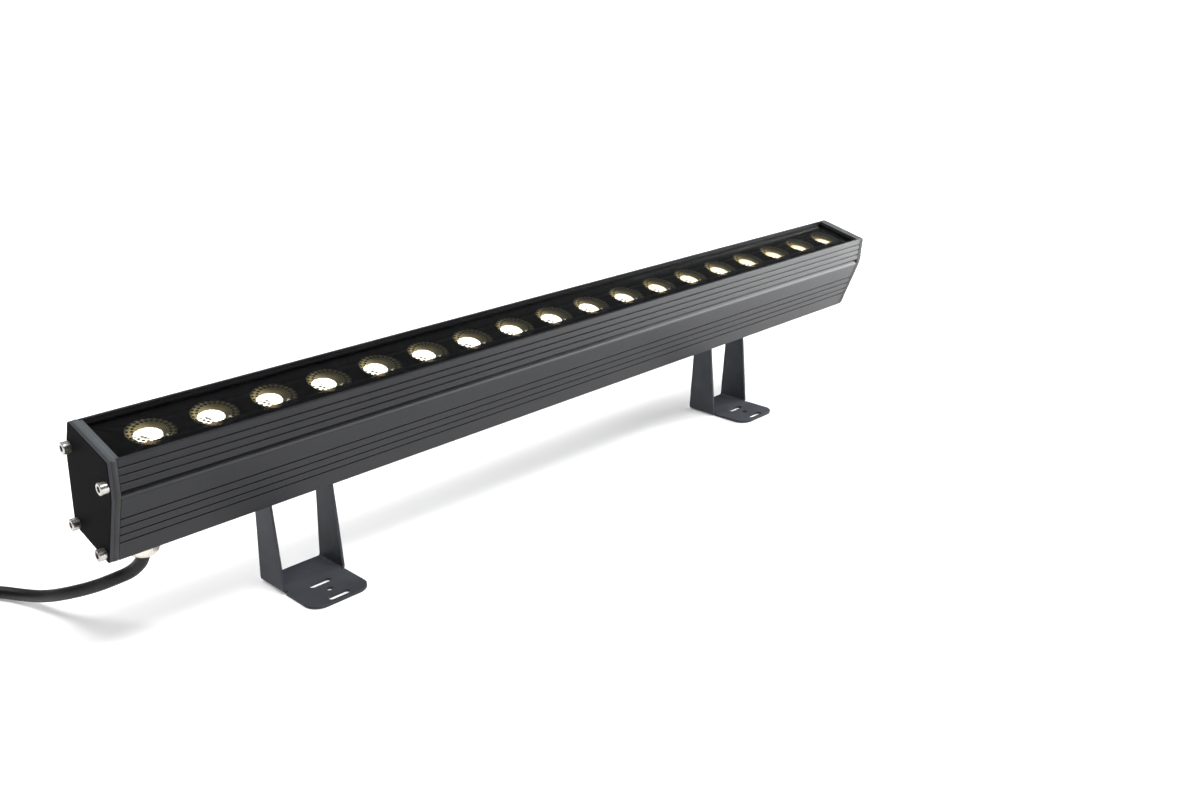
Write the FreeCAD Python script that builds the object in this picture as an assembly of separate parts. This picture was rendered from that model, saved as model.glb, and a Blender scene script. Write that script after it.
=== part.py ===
import FreeCAD, Part
import math
import os

from FreeCAD import Vector

# LED strip batten: a long sealed wash light on two tilting U brackets.
# World frame: X along the bar, Y towards the back, Z up, floor at Z = 0.
# Housing pieces are drawn upright in a section frame, whose Y is 0 on the bar's
# middle plane and whose Z is 0 on the rim of the trough, and are then tilted.

# ---------------------------------------------------------------- overall
overall_length = 1000.0      # over the outer faces of the end plates
tilt_deg = 15.0              # how far the light leans to the front at rest
pivot_height = 87.5          # pivot axis above the floor
pivot_y = 20.29              # pivot axis behind the middle of the footprint
pivot_drop = 13.5            # pivot axis below the housing's underside
running_gap = 0.05           # radial room round a shank in its hole
slip_gap = 0.2               # room round a piece that is dropped into place

# ---------------------------------------------------------------- housing section
housing_height = 95.5        # rim to underside
rim_half = 31.8              # half width across the rim
rim_chamfer = 0.6
waist_z = -25.6              # lower edge of the upper, ribbed band
waist_half = 36.2            # half width there
channel_height = 1.4         # gap under the upper band's lip
channel_half = 32.0          # half width at the gap's floor
shoulder_drop = 6.4          # height of the rounded shoulder under the gap
shoulder_bulge = 0.9         # rise of the shoulder's curve over a straight slope
shoulder_half = 36.6
foot_half = 28.4             # half width at the underside
groove_width = 1.2
groove_depth = 1.5
groove_chamfer = 0.55        # on the lower edge of the upper band's grooves
upper_grooves = (-6.6, -13.1, -19.6)
lower_groove_rises = (43.0, 34.6, 26.1, 18.2)
wall = 3.0                   # side walls
shelf_top = -28.1            # shelf that carries the light boards
shelf_thick = 3.0
trough_half = 29.2           # half width of the trough that holds the glass
ledge_half = 26.4            # inner edge of the ledge under the glass
sealant_groove = 0.8         # groove high on the trough's inner walls
rib_half = 12.0              # thick rib on the floor, for tapped holes
rib_rise = 9.0               # its top above the underside
boss_rise = 11.5             # flat top of the lower screw ports, above the underside
floor_thick = 4.5

# ---------------------------------------------------------------- glass and optics
glass_top = -4.5
glass_thick = 4.0
baffle_thick = 0.8
seal_under = 0.8             # seal's thickness under the baffle
seal_side = 0.8              # seal's width beside the glass
seal_proud = 0.4             # seal's bead above the glass
lens_pitch = 53.5
array_shift = 4.5            # row of lights moved right, to clear the incoming lead
array_margin = 12.0          # least room from the row to each end of the bar
lens_window_radius = 19.2    # hole in the black baffle over each lens
lens_flange_radius = 20.2
lens_flange_thick = 2.3
lens_neck_radius = 7.5
lens_pocket_radius = 4.5
lens_pocket_depth = 5.0
board_count = 3
board_half = 22.0
board_thick = 1.6
board_end_gap = 1.0
emitter_side = 5.0
emitter_height = 1.2
emitter_dome_radius = 2.0

# ---------------------------------------------------------------- ends
end_plate_thick = 3.0
end_gasket_thick = 5.0
gasket_bulge = 0.4           # how far the gasket swells past the section
tongue_length = 2.5          # gasket tongue that closes the trough's end
plate_corner_radius = 2.0
plate_edge = 0.5
screw_radius = 3.0           # M6
screw_head_radius = 5.0
screw_head_height = 6.0
screw_socket_flats = 5.0
end_screw_length = 25.0
upper_port = (30.3, -22.0)   # screw port centres, half section
lower_port_y = 22.2
lower_port_rise = 6.0        # above the underside

# ---------------------------------------------------------------- driver and leads
driver_length = 280.0
driver_half = 22.0
driver_height = 34.0
driver_from_left = 170.0     # driver's near end from the bar's left end
lead_rise = 17.0             # height of the lead's inner run over the rib
lead_bend = 22.0
board_lead_radius = 1.2

# ---------------------------------------------------------------- cable gland
gland_from_end = 41.0        # gland's axis from the bar's left end
gland_flats = 26.0
gland_thread_radius = 9.9
gland_washer_thick = 1.5
gland_flange_thick = 5.0
gland_neck_radius = 8.4
gland_neck_length = 8.0
gland_nut_gap = 1.0
gland_nut_hex = 10.0
gland_nut_length = 16.5
gland_mouth_radius = 7.6
gland_lip = 2.5              # rubber bush past the dome nut

# ---------------------------------------------------------------- brackets
bracket_from_left = 180.2    # left bracket's middle from the bar's left end
bracket_from_right = 220.0   # right bracket's middle from the bar's right end
bracket_names = ("left", "right")
sheet_thick = 2.5
bracket_half_width = 32.25   # half width over the outer faces of the legs
bend_inner_radius = 2.0
leg_half_bottom = 19.2
leg_half_top = 12.5          # also the radius of the leg's round head
base_back = 19.2             # base behind the pivot axis
foot_front = 65.0            # foot in front of the pivot axis
foot_half_width = 30.75
foot_corner_radius = 14.0
relief_width = 1.5           # relief between each bend and the foot
slot_length = 22.0
slot_width = 7.0
slot_centres = (-27.4, -57.4)
foot_hole_centre = -42.4
foot_hole_radius = 3.25

# ---------------------------------------------------------------- hangers and pivots
friction_washer_thick = 1.0
friction_washer_radius = 8.0
washer_thick = 1.6
washer_radius = 6.25
hanger_base_half = 15.0
hanger_base_thick = 5.0
hanger_lug_half = 8.5
hanger_screw_offset = 8.5
hanger_screw_radius = 2.5    # M5
hanger_screw_head_radius = 4.25
hanger_screw_head_height = 5.0
hanger_screw_flats = 4.0
hanger_screw_length = 14.0
counterbore_radius = 4.75
counterbore_floor = 9.0      # depth of metal left under the housing
pivot_thread_depth = 13.0

# ---------------------------------------------------------------- cord
cord_radius = 5.5
cord_rest = 5.6              # height of the cord's middle where it lies
cord_drop = 7.0              # first run, straight out of the gland
cord_route = (               # corners after that run, x from the gland's axis
    (-5.6, 37.0, 55.4),
    (-15.2, 48.5, 48.4),
    (-25.1, 71.7, 35.8),
    (-38.0, 100.6, 23.6),
    (-46.5, 130.6, 12.4),
    (-54.5, 159.6, 6.0),
    (-69.0, 186.6, cord_rest),
    (-92.0, 204.6, cord_rest),
    (-120.0, 210.6, cord_rest),
    (-148.0, 210.6, cord_rest),
)
coil_turn_radius = 66.0      # outermost turn, at the cord's middle
coil_width = 22.0
coil_height = 20.6
coil_clear = 6.0             # tube's end to the coil's side
coil_edge = 4.5

# ---------------------------------------------------------------- connector
connector_radius = 11.0
connector_ring_radius = 13.0
connector_height = 13.1      # its axis above the floor
connector_reach = 52.0       # its tail's end past the coil's centre
connector_tail = 14.0
connector_body = 24.0
connector_ring_length = 18.0
connector_bore_radius = 9.0
connector_bore_depth = 12.0
connector_pin_radius = 1.0
connector_pin_circle = 5.0
connector_pins = 5

# ---------------------------------------------------------------- worked out
plate_inner = overall_length / 2 - end_plate_thick
section_end = plate_inner - end_gasket_thick
gland_x = -overall_length / 2 + gland_from_end
driver_start = -overall_length / 2 + driver_from_left
bracket_x = (-overall_length / 2 + bracket_from_left, overall_length / 2 - bracket_from_right)
board_room = overall_length - 2 * (array_margin + array_shift)
lens_count = board_count * int(board_room / (lens_pitch * board_count))
trough_end = section_end - tongue_length
glass_bottom = glass_top - glass_thick
baffle_bottom = glass_bottom - baffle_thick
ledge_z = baffle_bottom - seal_under
board_top = shelf_top + board_thick
shelf_bottom = shelf_top - shelf_thick
shoulder_top = waist_z - channel_height
shoulder_end = shoulder_top - shoulder_drop
rib_top = -housing_height + rib_rise
boss_top = -housing_height + boss_rise
lower_port = (lower_port_y, -housing_height + lower_port_rise)
lower_grooves = [-housing_height + rise for rise in lower_groove_rises]
pivot_z = -housing_height - pivot_drop
leg_inner = bracket_half_width - sheet_thick
hanger_half = leg_inner - friction_washer_thick
cord_bore = cord_radius + 0.1


def point(y, z, x=0.0):
    return Vector(x, y, z)


def line(a, b):
    return Part.makeLine(a, b)


def arc(a, middle, b):
    return Part.Arc(a, middle, b).toShape()


def face_of(points):
    return Part.Face(Part.makePolygon(points + [points[0]]))


def mirrored(points):
    """Close a half outline, given top to bottom at +Y, with its mirror image."""
    return points + [point(-p.y, p.z, p.x) for p in reversed(points)]


def bar(face, start, end):
    """Extrude a section face, drawn at X = 0, from one X to another."""
    solid = face.extrude(Vector(end - start, 0, 0))
    solid.translate(Vector(start, 0, 0))
    return solid


def box(x0, x1, y0, y1, z0, z1):
    return Part.makeBox(x1 - x0, y1 - y0, z1 - z0, Vector(x0, y0, z0))


def disc(radius, x0, x1, y, z):
    return Part.makeCylinder(radius, x1 - x0, Vector(x0, y, z), Vector(1, 0, 0))


def post(radius, x, y, z0, z1):
    return Part.makeCylinder(radius, z1 - z0, Vector(x, y, z0), Vector(0, 0, 1))


def hexagon(flats, height, base, direction):
    """A hexagonal prism that starts at base and runs along direction."""
    corner = flats / math.sqrt(3.0)
    turn = FreeCAD.Rotation(Vector(0, 0, 1), direction)
    corners = []
    for index in range(6):
        angle = math.radians(60.0 * index + 30.0)
        flat = Vector(corner * math.cos(angle), corner * math.sin(angle), 0)
        corners.append(base + turn.multVec(flat))
    return face_of(corners).extrude(direction * height)


def side_half(z):
    """Half width of the section's smooth outer side at a height."""
    if z >= waist_z:
        share = z / waist_z
        return rim_half + share * (waist_half - rim_half)
    share = (shoulder_end - z) / (shoulder_end + housing_height)
    return shoulder_half - share * (shoulder_half - foot_half)


def groove(z, top, bottom, chamfer=0.0):
    """A groove cut square to the sloping side, as a pair of faces."""
    run = Vector(0, side_half(bottom) - side_half(top), bottom - top).normalize()
    inward = Vector(0, run.z, -run.y)
    if inward.y > 0:
        inward = inward * -1.0
    mouth = point(side_half(z), z) - inward * 0.5
    deep = point(side_half(z), z) + inward * groove_depth
    half = run * (groove_width / 2)
    corners = [mouth - half, mouth + half]
    if chamfer:
        corners = [mouth - half, mouth + half + run * (chamfer + 0.5)]
        corners.append(point(side_half(z), z) + half + inward * chamfer)
    cut = face_of(corners + [deep + half, deep - half])
    return [cut, cut.mirror(Vector(0, 0, 0), Vector(0, 1, 0))]


def outer_section():
    """The housing's outer outline: ribbed band, gap, shouldered band."""
    top = [point(0, 0), point(rim_half - rim_chamfer, 0)]
    top += [point(side_half(-rim_chamfer), -rim_chamfer), point(waist_half, waist_z)]
    top += [point(channel_half, waist_z), point(channel_half, shoulder_top)]
    edges = [line(a, b) for a, b in zip(top[:-1], top[1:])]
    end = point(shoulder_half, shoulder_end)
    slope = (end - top[-1]).normalize()
    middle = (top[-1] + end) / 2 + Vector(0, -slope.z, slope.y) * shoulder_bulge
    edges.append(arc(top[-1], middle, end))
    edges.append(line(end, point(foot_half, -housing_height)))
    edges.append(line(point(foot_half, -housing_height), point(0, -housing_height)))
    other = [edge.mirror(Vector(0, 0, 0), Vector(0, 1, 0)) for edge in edges]
    return Part.Face(Part.Wire(Part.__sortEdges__(edges + other)))


def upper_chamber():
    """Room for the boards and lenses, with a pocket above each upper port."""
    half = [point(ledge_half, ledge_z), point(ledge_half, ledge_z - 1.6)]
    half += [point(ledge_half + 3.6, ledge_z - 2.2), point(ledge_half + 3.6, -14.6)]
    half += [point(ledge_half - 0.4, -17.2), point(ledge_half - 0.4, shelf_top)]
    return face_of(mirrored(half))


def lower_chamber():
    """Room for the driver, down to the lower ports and the tapped rib."""
    low = -housing_height + floor_thick
    half = [point(channel_half - wall, shelf_bottom)]
    half += [point(shoulder_half - wall - 0.4, shelf_bottom - 4.0)]
    half += [point(side_half(boss_top) - wall, boss_top), point(16.4, boss_top)]
    half += [point(15.6, low), point(rib_half + 0.6, low), point(rib_half, rib_top)]
    return face_of(mirrored(half))


def port_holes():
    radius = screw_radius + running_gap
    cuts = []
    for y, z in (upper_port, lower_port):
        for side in (1, -1):
            circle = Part.Circle(point(side * y, z), Vector(1, 0, 0), radius)
            cuts.append(Part.Face(Part.Wire(circle.toShape())))
    return cuts


def make_housing():
    trough = face_of([point(trough_half, 1), point(trough_half, ledge_z),
                      point(-trough_half, ledge_z), point(-trough_half, 1)])
    bead = []
    for side in (1, -1):
        inner = side * (trough_half - 1.0)
        outer = side * (trough_half + sealant_groove)
        bead.append(face_of([point(inner, -1.6), point(outer, -1.6),
                             point(outer, -2.6), point(inner, -2.6)]))
    cuts = [trough, upper_chamber(), lower_chamber()] + bead + port_holes()
    for z in upper_grooves:
        cuts += groove(z, 0.0, waist_z, groove_chamfer)
    for z in lower_grooves:
        cuts += groove(z, shoulder_end, -housing_height)
    section = outer_section().cut(cuts)
    housing = bar(section.Faces[0], -section_end, section_end)
    floor_z = -housing_height - 1.0
    tapped = hanger_screw_radius + running_gap
    deepest = -housing_height + hanger_screw_length - counterbore_floor + 0.3
    holes = [post(gland_thread_radius + 0.1, gland_x, 0, floor_z, rib_top + 1.0)]
    for x in bracket_x:
        for side in (1, -1):
            holes.append(post(tapped, x + side * hanger_screw_offset, 0, floor_z, deepest))
    for x in board_screw_places():
        holes.append(post(1.55, x, 0, shelf_bottom - 1.0, shelf_top + 1.0))
    holes.append(post(4.0, lead_hole_x(), 0, shelf_bottom - 1.0, shelf_top + 1.0))
    return housing.cut(holes)


def lens_places():
    first = array_shift - (lens_count - 1) / 2.0 * lens_pitch
    return [first + index * lens_pitch for index in range(lens_count)]


def lead_hole_x():
    """Where the board leads come up: the first gap between lenses past the driver."""
    first = lens_places()[0]
    nearest = driver_start + driver_length + 10.0
    steps = math.ceil((nearest - first) / lens_pitch - 0.5)
    return first + (steps + 0.5) * lens_pitch


def board_spans():
    """Start and end of each light board: whole lenses, equally shared."""
    share = lens_count // board_count
    places = lens_places()
    spans = []
    for index in range(board_count):
        first = places[index * share] - lens_pitch / 2 + board_end_gap / 2
        last = places[(index + 1) * share - 1] + lens_pitch / 2 - board_end_gap / 2
        spans.append((first, last))
    return spans


def board_screw_places():
    """Two screws on each board, midway between lenses."""
    share = lens_count // board_count
    places = lens_places()
    found = []
    for index in range(board_count):
        found.append(places[index * share + 1] + lens_pitch / 2)
        found.append(places[index * share + share - 2] - lens_pitch / 2)
    return sorted(set(found))


def make_glass():
    half = trough_half - seal_side
    end = trough_end - seal_side - slip_gap
    glass = box(-end, end, -half, half, glass_bottom, glass_top)
    upper = [e for e in glass.Edges if abs(e.CenterOfMass.z - glass_top) < 0.01]
    return glass.makeChamfer(0.4, upper)


def make_glass_seal():
    """An L-shaped ring: under the baffle's edge and up round the glass."""
    end = trough_end - slip_gap
    glass_half = trough_half - seal_side
    glass_end = end - seal_side
    lip_half = ledge_half + 0.4
    lip_end = end - (trough_half - lip_half)
    outer = box(-end, end, -trough_half, trough_half, ledge_z, glass_top + seal_proud)
    upper = box(-glass_end, glass_end, -glass_half, glass_half, baffle_bottom, 1.0)
    lower = box(-lip_end, lip_end, -lip_half, lip_half, ledge_z - 1.0, 0.0)
    return outer.cut([upper, lower])


def make_baffle():
    half = trough_half - seal_side - 0.1
    end = trough_end - slip_gap - seal_side - 0.1
    plate = box(-end, end, -half, half, baffle_bottom, glass_bottom)
    holes = [post(lens_window_radius, x, 0, baffle_bottom - 1, glass_bottom + 1)
             for x in lens_places()]
    return plate.cut(holes)


def make_lens(x):
    """A collimating lens: flange against the baffle, foot on the board."""
    top = baffle_bottom
    under = top - lens_flange_thick
    pocket = board_top + lens_pocket_depth
    low = [point(0, top), point(lens_flange_radius, top), point(lens_flange_radius, under)]
    low += [point(lens_flange_radius - 1.2, under)]
    edges = [line(a, b) for a, b in zip(low[:-1], low[1:])]
    foot = point(lens_neck_radius, board_top)
    belly = point(lens_neck_radius + 7.6, (under + board_top) / 2 - 1.2)
    edges.append(arc(low[-1], belly, foot))
    rest = [foot, point(lens_pocket_radius, board_top), point(lens_pocket_radius, pocket)]
    rest += [point(0, pocket), point(0, top)]
    edges += [line(a, b) for a, b in zip(rest[:-1], rest[1:])]
    lens = Part.Face(Part.Wire(edges)).revolve(Vector(0, 0, 0), Vector(0, 0, 1), 360)
    lens.translate(Vector(x, 0, 0))
    return lens


def make_board(span):
    start, end = span
    board = box(start, end, -board_half, board_half, shelf_top, board_top)
    holes = [post(1.7, x, 0, shelf_top - 1, board_top + 1)
             for x in board_screw_places() if start < x < end]
    wire_x = lead_hole_x()
    if start < wire_x < end:
        holes.append(post(3.5, wire_x, 0, shelf_top - 1, board_top + 1))
    return board.cut(holes)


def make_emitters(span):
    """The light sources of one board: a square base and a low silicone dome."""
    start, end = span
    half = emitter_side / 2
    solids = []
    for x in lens_places():
        if start < x < end:
            base = box(x - half, x + half, -half, half, board_top, board_top + emitter_height)
            centre = Vector(x, 0, board_top + emitter_height)
            dome = Part.makeSphere(emitter_dome_radius, centre, Vector(0, 0, 1), 0, 90, 360)
            solids.append(base.fuse(dome).removeSplitter())
    return Part.makeCompound(solids)


def make_board_screws():
    solids = []
    for x in board_screw_places():
        head = post(2.75, x, 0, board_top, board_top + 1.8)
        shank = post(1.5, x, 0, shelf_bottom, board_top)
        socket = hexagon(2.0, 1.0, Vector(x, 0, board_top + 1.0), Vector(0, 0, 1))
        solids.append(head.fuse(shank).removeSplitter().cut(socket))
    return Part.makeCompound(solids)


def make_driver():
    end = driver_start + driver_length
    case = box(driver_start, end, -driver_half, driver_half, boss_top, boss_top + driver_height)
    edges = [e for e in case.Edges if abs(e.Length - driver_length) < 0.01]
    return case.makeFillet(2.0, edges)


def make_inner_lead():
    """The supply lead from the gland's mouth to the driver's end."""
    mouth = gland_mouth_z()
    run_z = rib_top + lead_rise + cord_radius
    rise = Vector(gland_x, 0, run_z - lead_bend)
    bend = Vector(gland_x + lead_bend * (1 - math.sqrt(0.5)), 0,
                  run_z - lead_bend * (1 - math.sqrt(0.5)))
    turn = Vector(gland_x + lead_bend, 0, run_z)
    edges = [line(Vector(gland_x, 0, mouth), rise), arc(rise, bend, turn)]
    edges.append(line(turn, Vector(driver_start, 0, run_z)))
    return sweep(edges, cord_radius)


def make_board_leads():
    """Two cores from the driver up through the shelf to the light boards."""
    wire_x = lead_hole_x()
    start_x = driver_start + driver_length
    run_z = boss_top + driver_height - 6.0
    radius = 8.0
    short = radius * (1 - math.sqrt(0.5))
    solids = []
    for side in (1, -1):
        y = side * 1.6
        x = wire_x - radius
        edges = [line(Vector(start_x, y, run_z), Vector(x, y, run_z))]
        edges.append(arc(Vector(x, y, run_z), Vector(wire_x - short, y, run_z + short),
                         Vector(wire_x, y, run_z + radius)))
        edges.append(line(Vector(wire_x, y, run_z + radius), Vector(wire_x, y, board_top)))
        solids.append(sweep(edges, board_lead_radius))
    return Part.makeCompound(solids)


def sweep(edges, radius):
    """A round tube along edges that run end to end, checked by its volume."""
    path = Part.Wire(edges)
    start = edges[0].valueAt(edges[0].FirstParameter)
    along = edges[0].tangentAt(edges[0].FirstParameter)
    ring = Part.Wire(Part.Circle(start, along, radius).toShape())
    tube = path.makePipeShell([ring], True, False)
    solid = Part.Solid(tube) if tube.ShapeType == "Shell" else tube
    expected = math.pi * radius ** 2 * path.Length
    print("tube %.1f mm long, volume %.4f of section times length"
          % (path.Length, solid.Volume / expected))
    return solid


def end_outline(grow):
    """The plain outline of the end pieces: the section with its channel closed."""
    half = [point(rim_half + grow, grow), point(waist_half + grow, waist_z)]
    half += [point(shoulder_half + grow, shoulder_end + 1.0)]
    half += [point(foot_half + grow, -housing_height - grow)]
    return face_of(mirrored(half))


def end_hole_places():
    places = []
    for y, z in (upper_port, lower_port):
        places += [(y, z), (-y, z)]
    return places


def make_end_gasket(side):
    inner = side * section_end
    outer = side * plate_inner
    sheet = bar(end_outline(gasket_bulge), min(inner, outer), max(inner, outer))
    tongue_half = trough_half - 0.1
    tip = side * trough_end
    tongue = box(min(tip, inner), max(tip, inner), -tongue_half, tongue_half,
                 ledge_z + 0.1, gasket_bulge)
    radius = screw_radius + slip_gap
    holes = [disc(radius, min(inner, outer) - 1, max(inner, outer) + 1, y, z)
             for y, z in end_hole_places()]
    return sheet.fuse(tongue).removeSplitter().cut(holes)


def make_end_plate(side):
    inner = side * plate_inner
    outer = side * overall_length / 2
    plate = bar(end_outline(slip_gap), min(inner, outer), max(inner, outer))
    thin = [e for e in plate.Edges if abs(e.Length - end_plate_thick) < 0.01]
    plate = plate.makeFillet(plate_corner_radius, thin)
    rim = [e for e in plate.Edges if abs(e.CenterOfMass.x - outer) < 0.01]
    plate = plate.makeChamfer(plate_edge, rim)
    radius = screw_radius + slip_gap
    holes = [disc(radius, min(inner, outer) - 1, max(inner, outer) + 1, y, z)
             for y, z in end_hole_places()]
    return plate.cut(holes)


def cap_screw(seat, into, radius, length, head_radius, head_height, flats):
    """A socket cap screw: seat is under its head, into points down its shank."""
    out = into * -1.0
    head = Part.makeCylinder(head_radius, head_height, seat, out)
    rim = [e for e in head.Edges
           if (e.CenterOfMass - seat).dot(out) > head_height - 0.01 and e.Closed]
    head = head.makeChamfer(0.5, rim)
    shank = Part.makeCylinder(radius, length, seat, into)
    socket = hexagon(flats, head_height, seat + out * (head_height / 2), out)
    return head.fuse(shank).removeSplitter().cut(socket)


def make_end_screws(side):
    solids = []
    for y, z in end_hole_places():
        seat = Vector(side * overall_length / 2, y, z)
        solids.append(cap_screw(seat, Vector(-side, 0, 0), screw_radius, end_screw_length,
                                screw_head_radius, screw_head_height, screw_socket_flats))
    return Part.makeCompound(solids)


def gland_flange_z():
    return -housing_height - gland_washer_thick


def gland_nut_z():
    return gland_flange_z() - gland_flange_thick - gland_nut_gap


def gland_mouth_z():
    return gland_nut_z() - gland_nut_length - gland_lip


def make_gland_washer():
    ring = post(13.0, gland_x, 0, gland_flange_z(), -housing_height)
    return ring.cut(post(gland_thread_radius + 0.1, gland_x, 0, -housing_height - 5, 0))


def make_gland_body():
    flange_z = gland_flange_z()
    neck_z = flange_z - gland_flange_thick - gland_neck_length
    thread = post(gland_thread_radius, gland_x, 0, flange_z, rib_top + 1.5)
    flange = hexagon(gland_flats, gland_flange_thick, Vector(gland_x, 0, flange_z),
                     Vector(0, 0, -1))
    neck = post(gland_neck_radius, gland_x, 0, neck_z, flange_z)
    body = thread.fuse([flange, neck]).removeSplitter()
    return body.cut(post(cord_bore + 0.3, gland_x, 0, neck_z - 1, 0))


def make_gland_nut():
    """Hexagon, then a dome that narrows to the mouth."""
    top = gland_nut_z()
    hex_end = top - gland_nut_hex
    low = top - gland_nut_length
    round_radius = gland_flats / 2
    grip = hexagon(gland_flats, gland_nut_hex, Vector(gland_x, 0, top), Vector(0, 0, -1))
    grip = grip.common(post(round_radius + 1.2, gland_x, 0, hex_end, top))
    dome_mid = point(round_radius - 0.9, hex_end - 4.6)
    dome = [line(point(0, hex_end), point(round_radius, hex_end))]
    dome.append(arc(point(round_radius, hex_end), dome_mid, point(gland_mouth_radius + 1.4, low)))
    dome.append(line(point(gland_mouth_radius + 1.4, low), point(0, low)))
    dome.append(line(point(0, low), point(0, hex_end)))
    cap = Part.Face(Part.Wire(dome)).revolve(Vector(0, 0, 0), Vector(0, 0, 1), 360)
    cap.translate(Vector(gland_x, 0, 0))
    neck_end = gland_flange_z() - gland_flange_thick - gland_neck_length
    bore = post(gland_neck_radius + 0.1, gland_x, 0, neck_end - 4.0, top + 1)
    mouth = post(gland_mouth_radius + 0.1, gland_x, 0, low - 1, top)
    return grip.fuse(cap).removeSplitter().cut([bore, mouth])


def make_gland_seal():
    """The rubber bush that the dome nut squeezes round the cord."""
    neck_end = gland_flange_z() - gland_flange_thick - gland_neck_length
    bush = post(gland_mouth_radius, gland_x, 0, gland_mouth_z(), neck_end)
    lower = [e for e in bush.Edges if abs(e.CenterOfMass.z - gland_mouth_z()) < 0.01 and e.Closed]
    bush = bush.makeChamfer(0.8, lower)
    return bush.cut(post(cord_bore, gland_x, 0, gland_mouth_z() - 1, neck_end + 1))


def make_hanger(x):
    """The block between a bracket's legs: screwed up to the housing's rib."""
    top = -housing_height
    base_z = top - hanger_base_thick
    profile = [point(hanger_base_half, top), point(hanger_base_half, base_z)]
    profile += [point(hanger_lug_half, base_z), point(hanger_lug_half, pivot_z)]
    block = bar(face_of(mirrored(profile)), x - hanger_half, x + hanger_half)
    block = block.fuse(disc(hanger_lug_half, x - hanger_half, x + hanger_half, 0, pivot_z))
    block = block.removeSplitter()
    bore = screw_radius + running_gap
    seat = top - counterbore_floor
    cuts = []
    for side in (1, -1):
        tip = x + side * (hanger_half - pivot_thread_depth)
        face = x + side * (hanger_half + 1.0)
        cuts.append(disc(bore, min(tip, face), max(tip, face), 0, pivot_z))
        screw_x = x + side * hanger_screw_offset
        cuts.append(post(hanger_screw_radius + slip_gap, screw_x, 0, seat - 1, top + 1))
        cuts.append(post(counterbore_radius, screw_x, 0, pivot_z - 20, seat))
    return block.cut(cuts)


def make_hanger_screws(x):
    seat_z = -housing_height - counterbore_floor
    solids = []
    for side in (1, -1):
        seat = Vector(x + side * hanger_screw_offset, 0, seat_z)
        solids.append(cap_screw(seat, Vector(0, 0, 1), hanger_screw_radius,
                                hanger_screw_length, hanger_screw_head_radius,
                                hanger_screw_head_height, hanger_screw_flats))
    return Part.makeCompound(solids)


def ring_pair(x, near, thick, radius, hole):
    """Two flat rings on the pivot axis, each from near to near plus thick."""
    solids = []
    for side in (1, -1):
        a = x + side * near
        b = x + side * (near + thick)
        ring = disc(radius, min(a, b), max(a, b), 0, pivot_z)
        solids.append(ring.cut(disc(hole, min(a, b) - 1, max(a, b) + 1, 0, pivot_z)))
    return Part.makeCompound(solids)


def make_friction_washers(x):
    return ring_pair(x, hanger_half, friction_washer_thick, friction_washer_radius,
                     screw_radius + slip_gap)


def make_pivot_washers(x):
    return ring_pair(x, bracket_half_width, washer_thick, washer_radius,
                     screw_radius + slip_gap)


def make_pivot_screws(x):
    reach = bracket_half_width + washer_thick - hanger_half + pivot_thread_depth - 1.0
    solids = []
    for side in (1, -1):
        seat = Vector(x + side * (bracket_half_width + washer_thick), 0, pivot_z)
        solids.append(cap_screw(seat, Vector(-side, 0, 0), screw_radius, reach,
                                screw_head_radius, screw_head_height, screw_socket_flats))
    return Part.makeCompound(solids)


def tilted(shape):
    """Bring a piece from the section frame to its place on the brackets."""
    moved = shape.copy()
    moved.translate(Vector(0, 0, -pivot_z))
    moved.rotate(Vector(0, 0, 0), Vector(1, 0, 0), tilt_deg)
    moved.translate(Vector(0, pivot_y, pivot_height))
    return moved


def leg_outline():
    """A leg seen along X: a tall taper with a round head on the pivot axis."""
    head = arc(Vector(0, pivot_y + leg_half_top, pivot_height),
               Vector(0, pivot_y, pivot_height + leg_half_top),
               Vector(0, pivot_y - leg_half_top, pivot_height))
    near = Vector(0, pivot_y - leg_half_bottom, 0)
    far = Vector(0, pivot_y + leg_half_bottom, 0)
    edges = [head, line(Vector(0, pivot_y - leg_half_top, pivot_height), near)]
    edges += [line(near, far), line(far, Vector(0, pivot_y + leg_half_top, pivot_height))]
    return Part.Face(Part.Wire(edges))


def make_foot(x):
    """The flat foot in front of the legs, with its two slots and its hole."""
    leg_front = pivot_y - leg_half_bottom
    front = pivot_y - foot_front
    plate = box(x - foot_half_width, x + foot_half_width, front, leg_front - relief_width,
                0, sheet_thick)
    corners = [e for e in plate.Edges
               if abs(e.Length - sheet_thick) < 0.01 and abs(e.CenterOfMass.y - front) < 0.01]
    plate = plate.makeFillet(foot_corner_radius, corners)
    neck_half = bracket_half_width - sheet_thick - bend_inner_radius
    return plate.fuse(box(x - neck_half, x + neck_half, leg_front - 2 * relief_width,
                          leg_front + 2 * relief_width, 0, sheet_thick))


def slot_cut(x, y):
    straight = (slot_length - slot_width) / 2
    ends = [post(slot_width / 2, x + side * straight, y, -1, sheet_thick + 1)
            for side in (1, -1)]
    middle = box(x - straight, x + straight, y - slot_width / 2, y + slot_width / 2,
                 -1, sheet_thick + 1)
    return middle.fuse(ends).removeSplitter()


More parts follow.
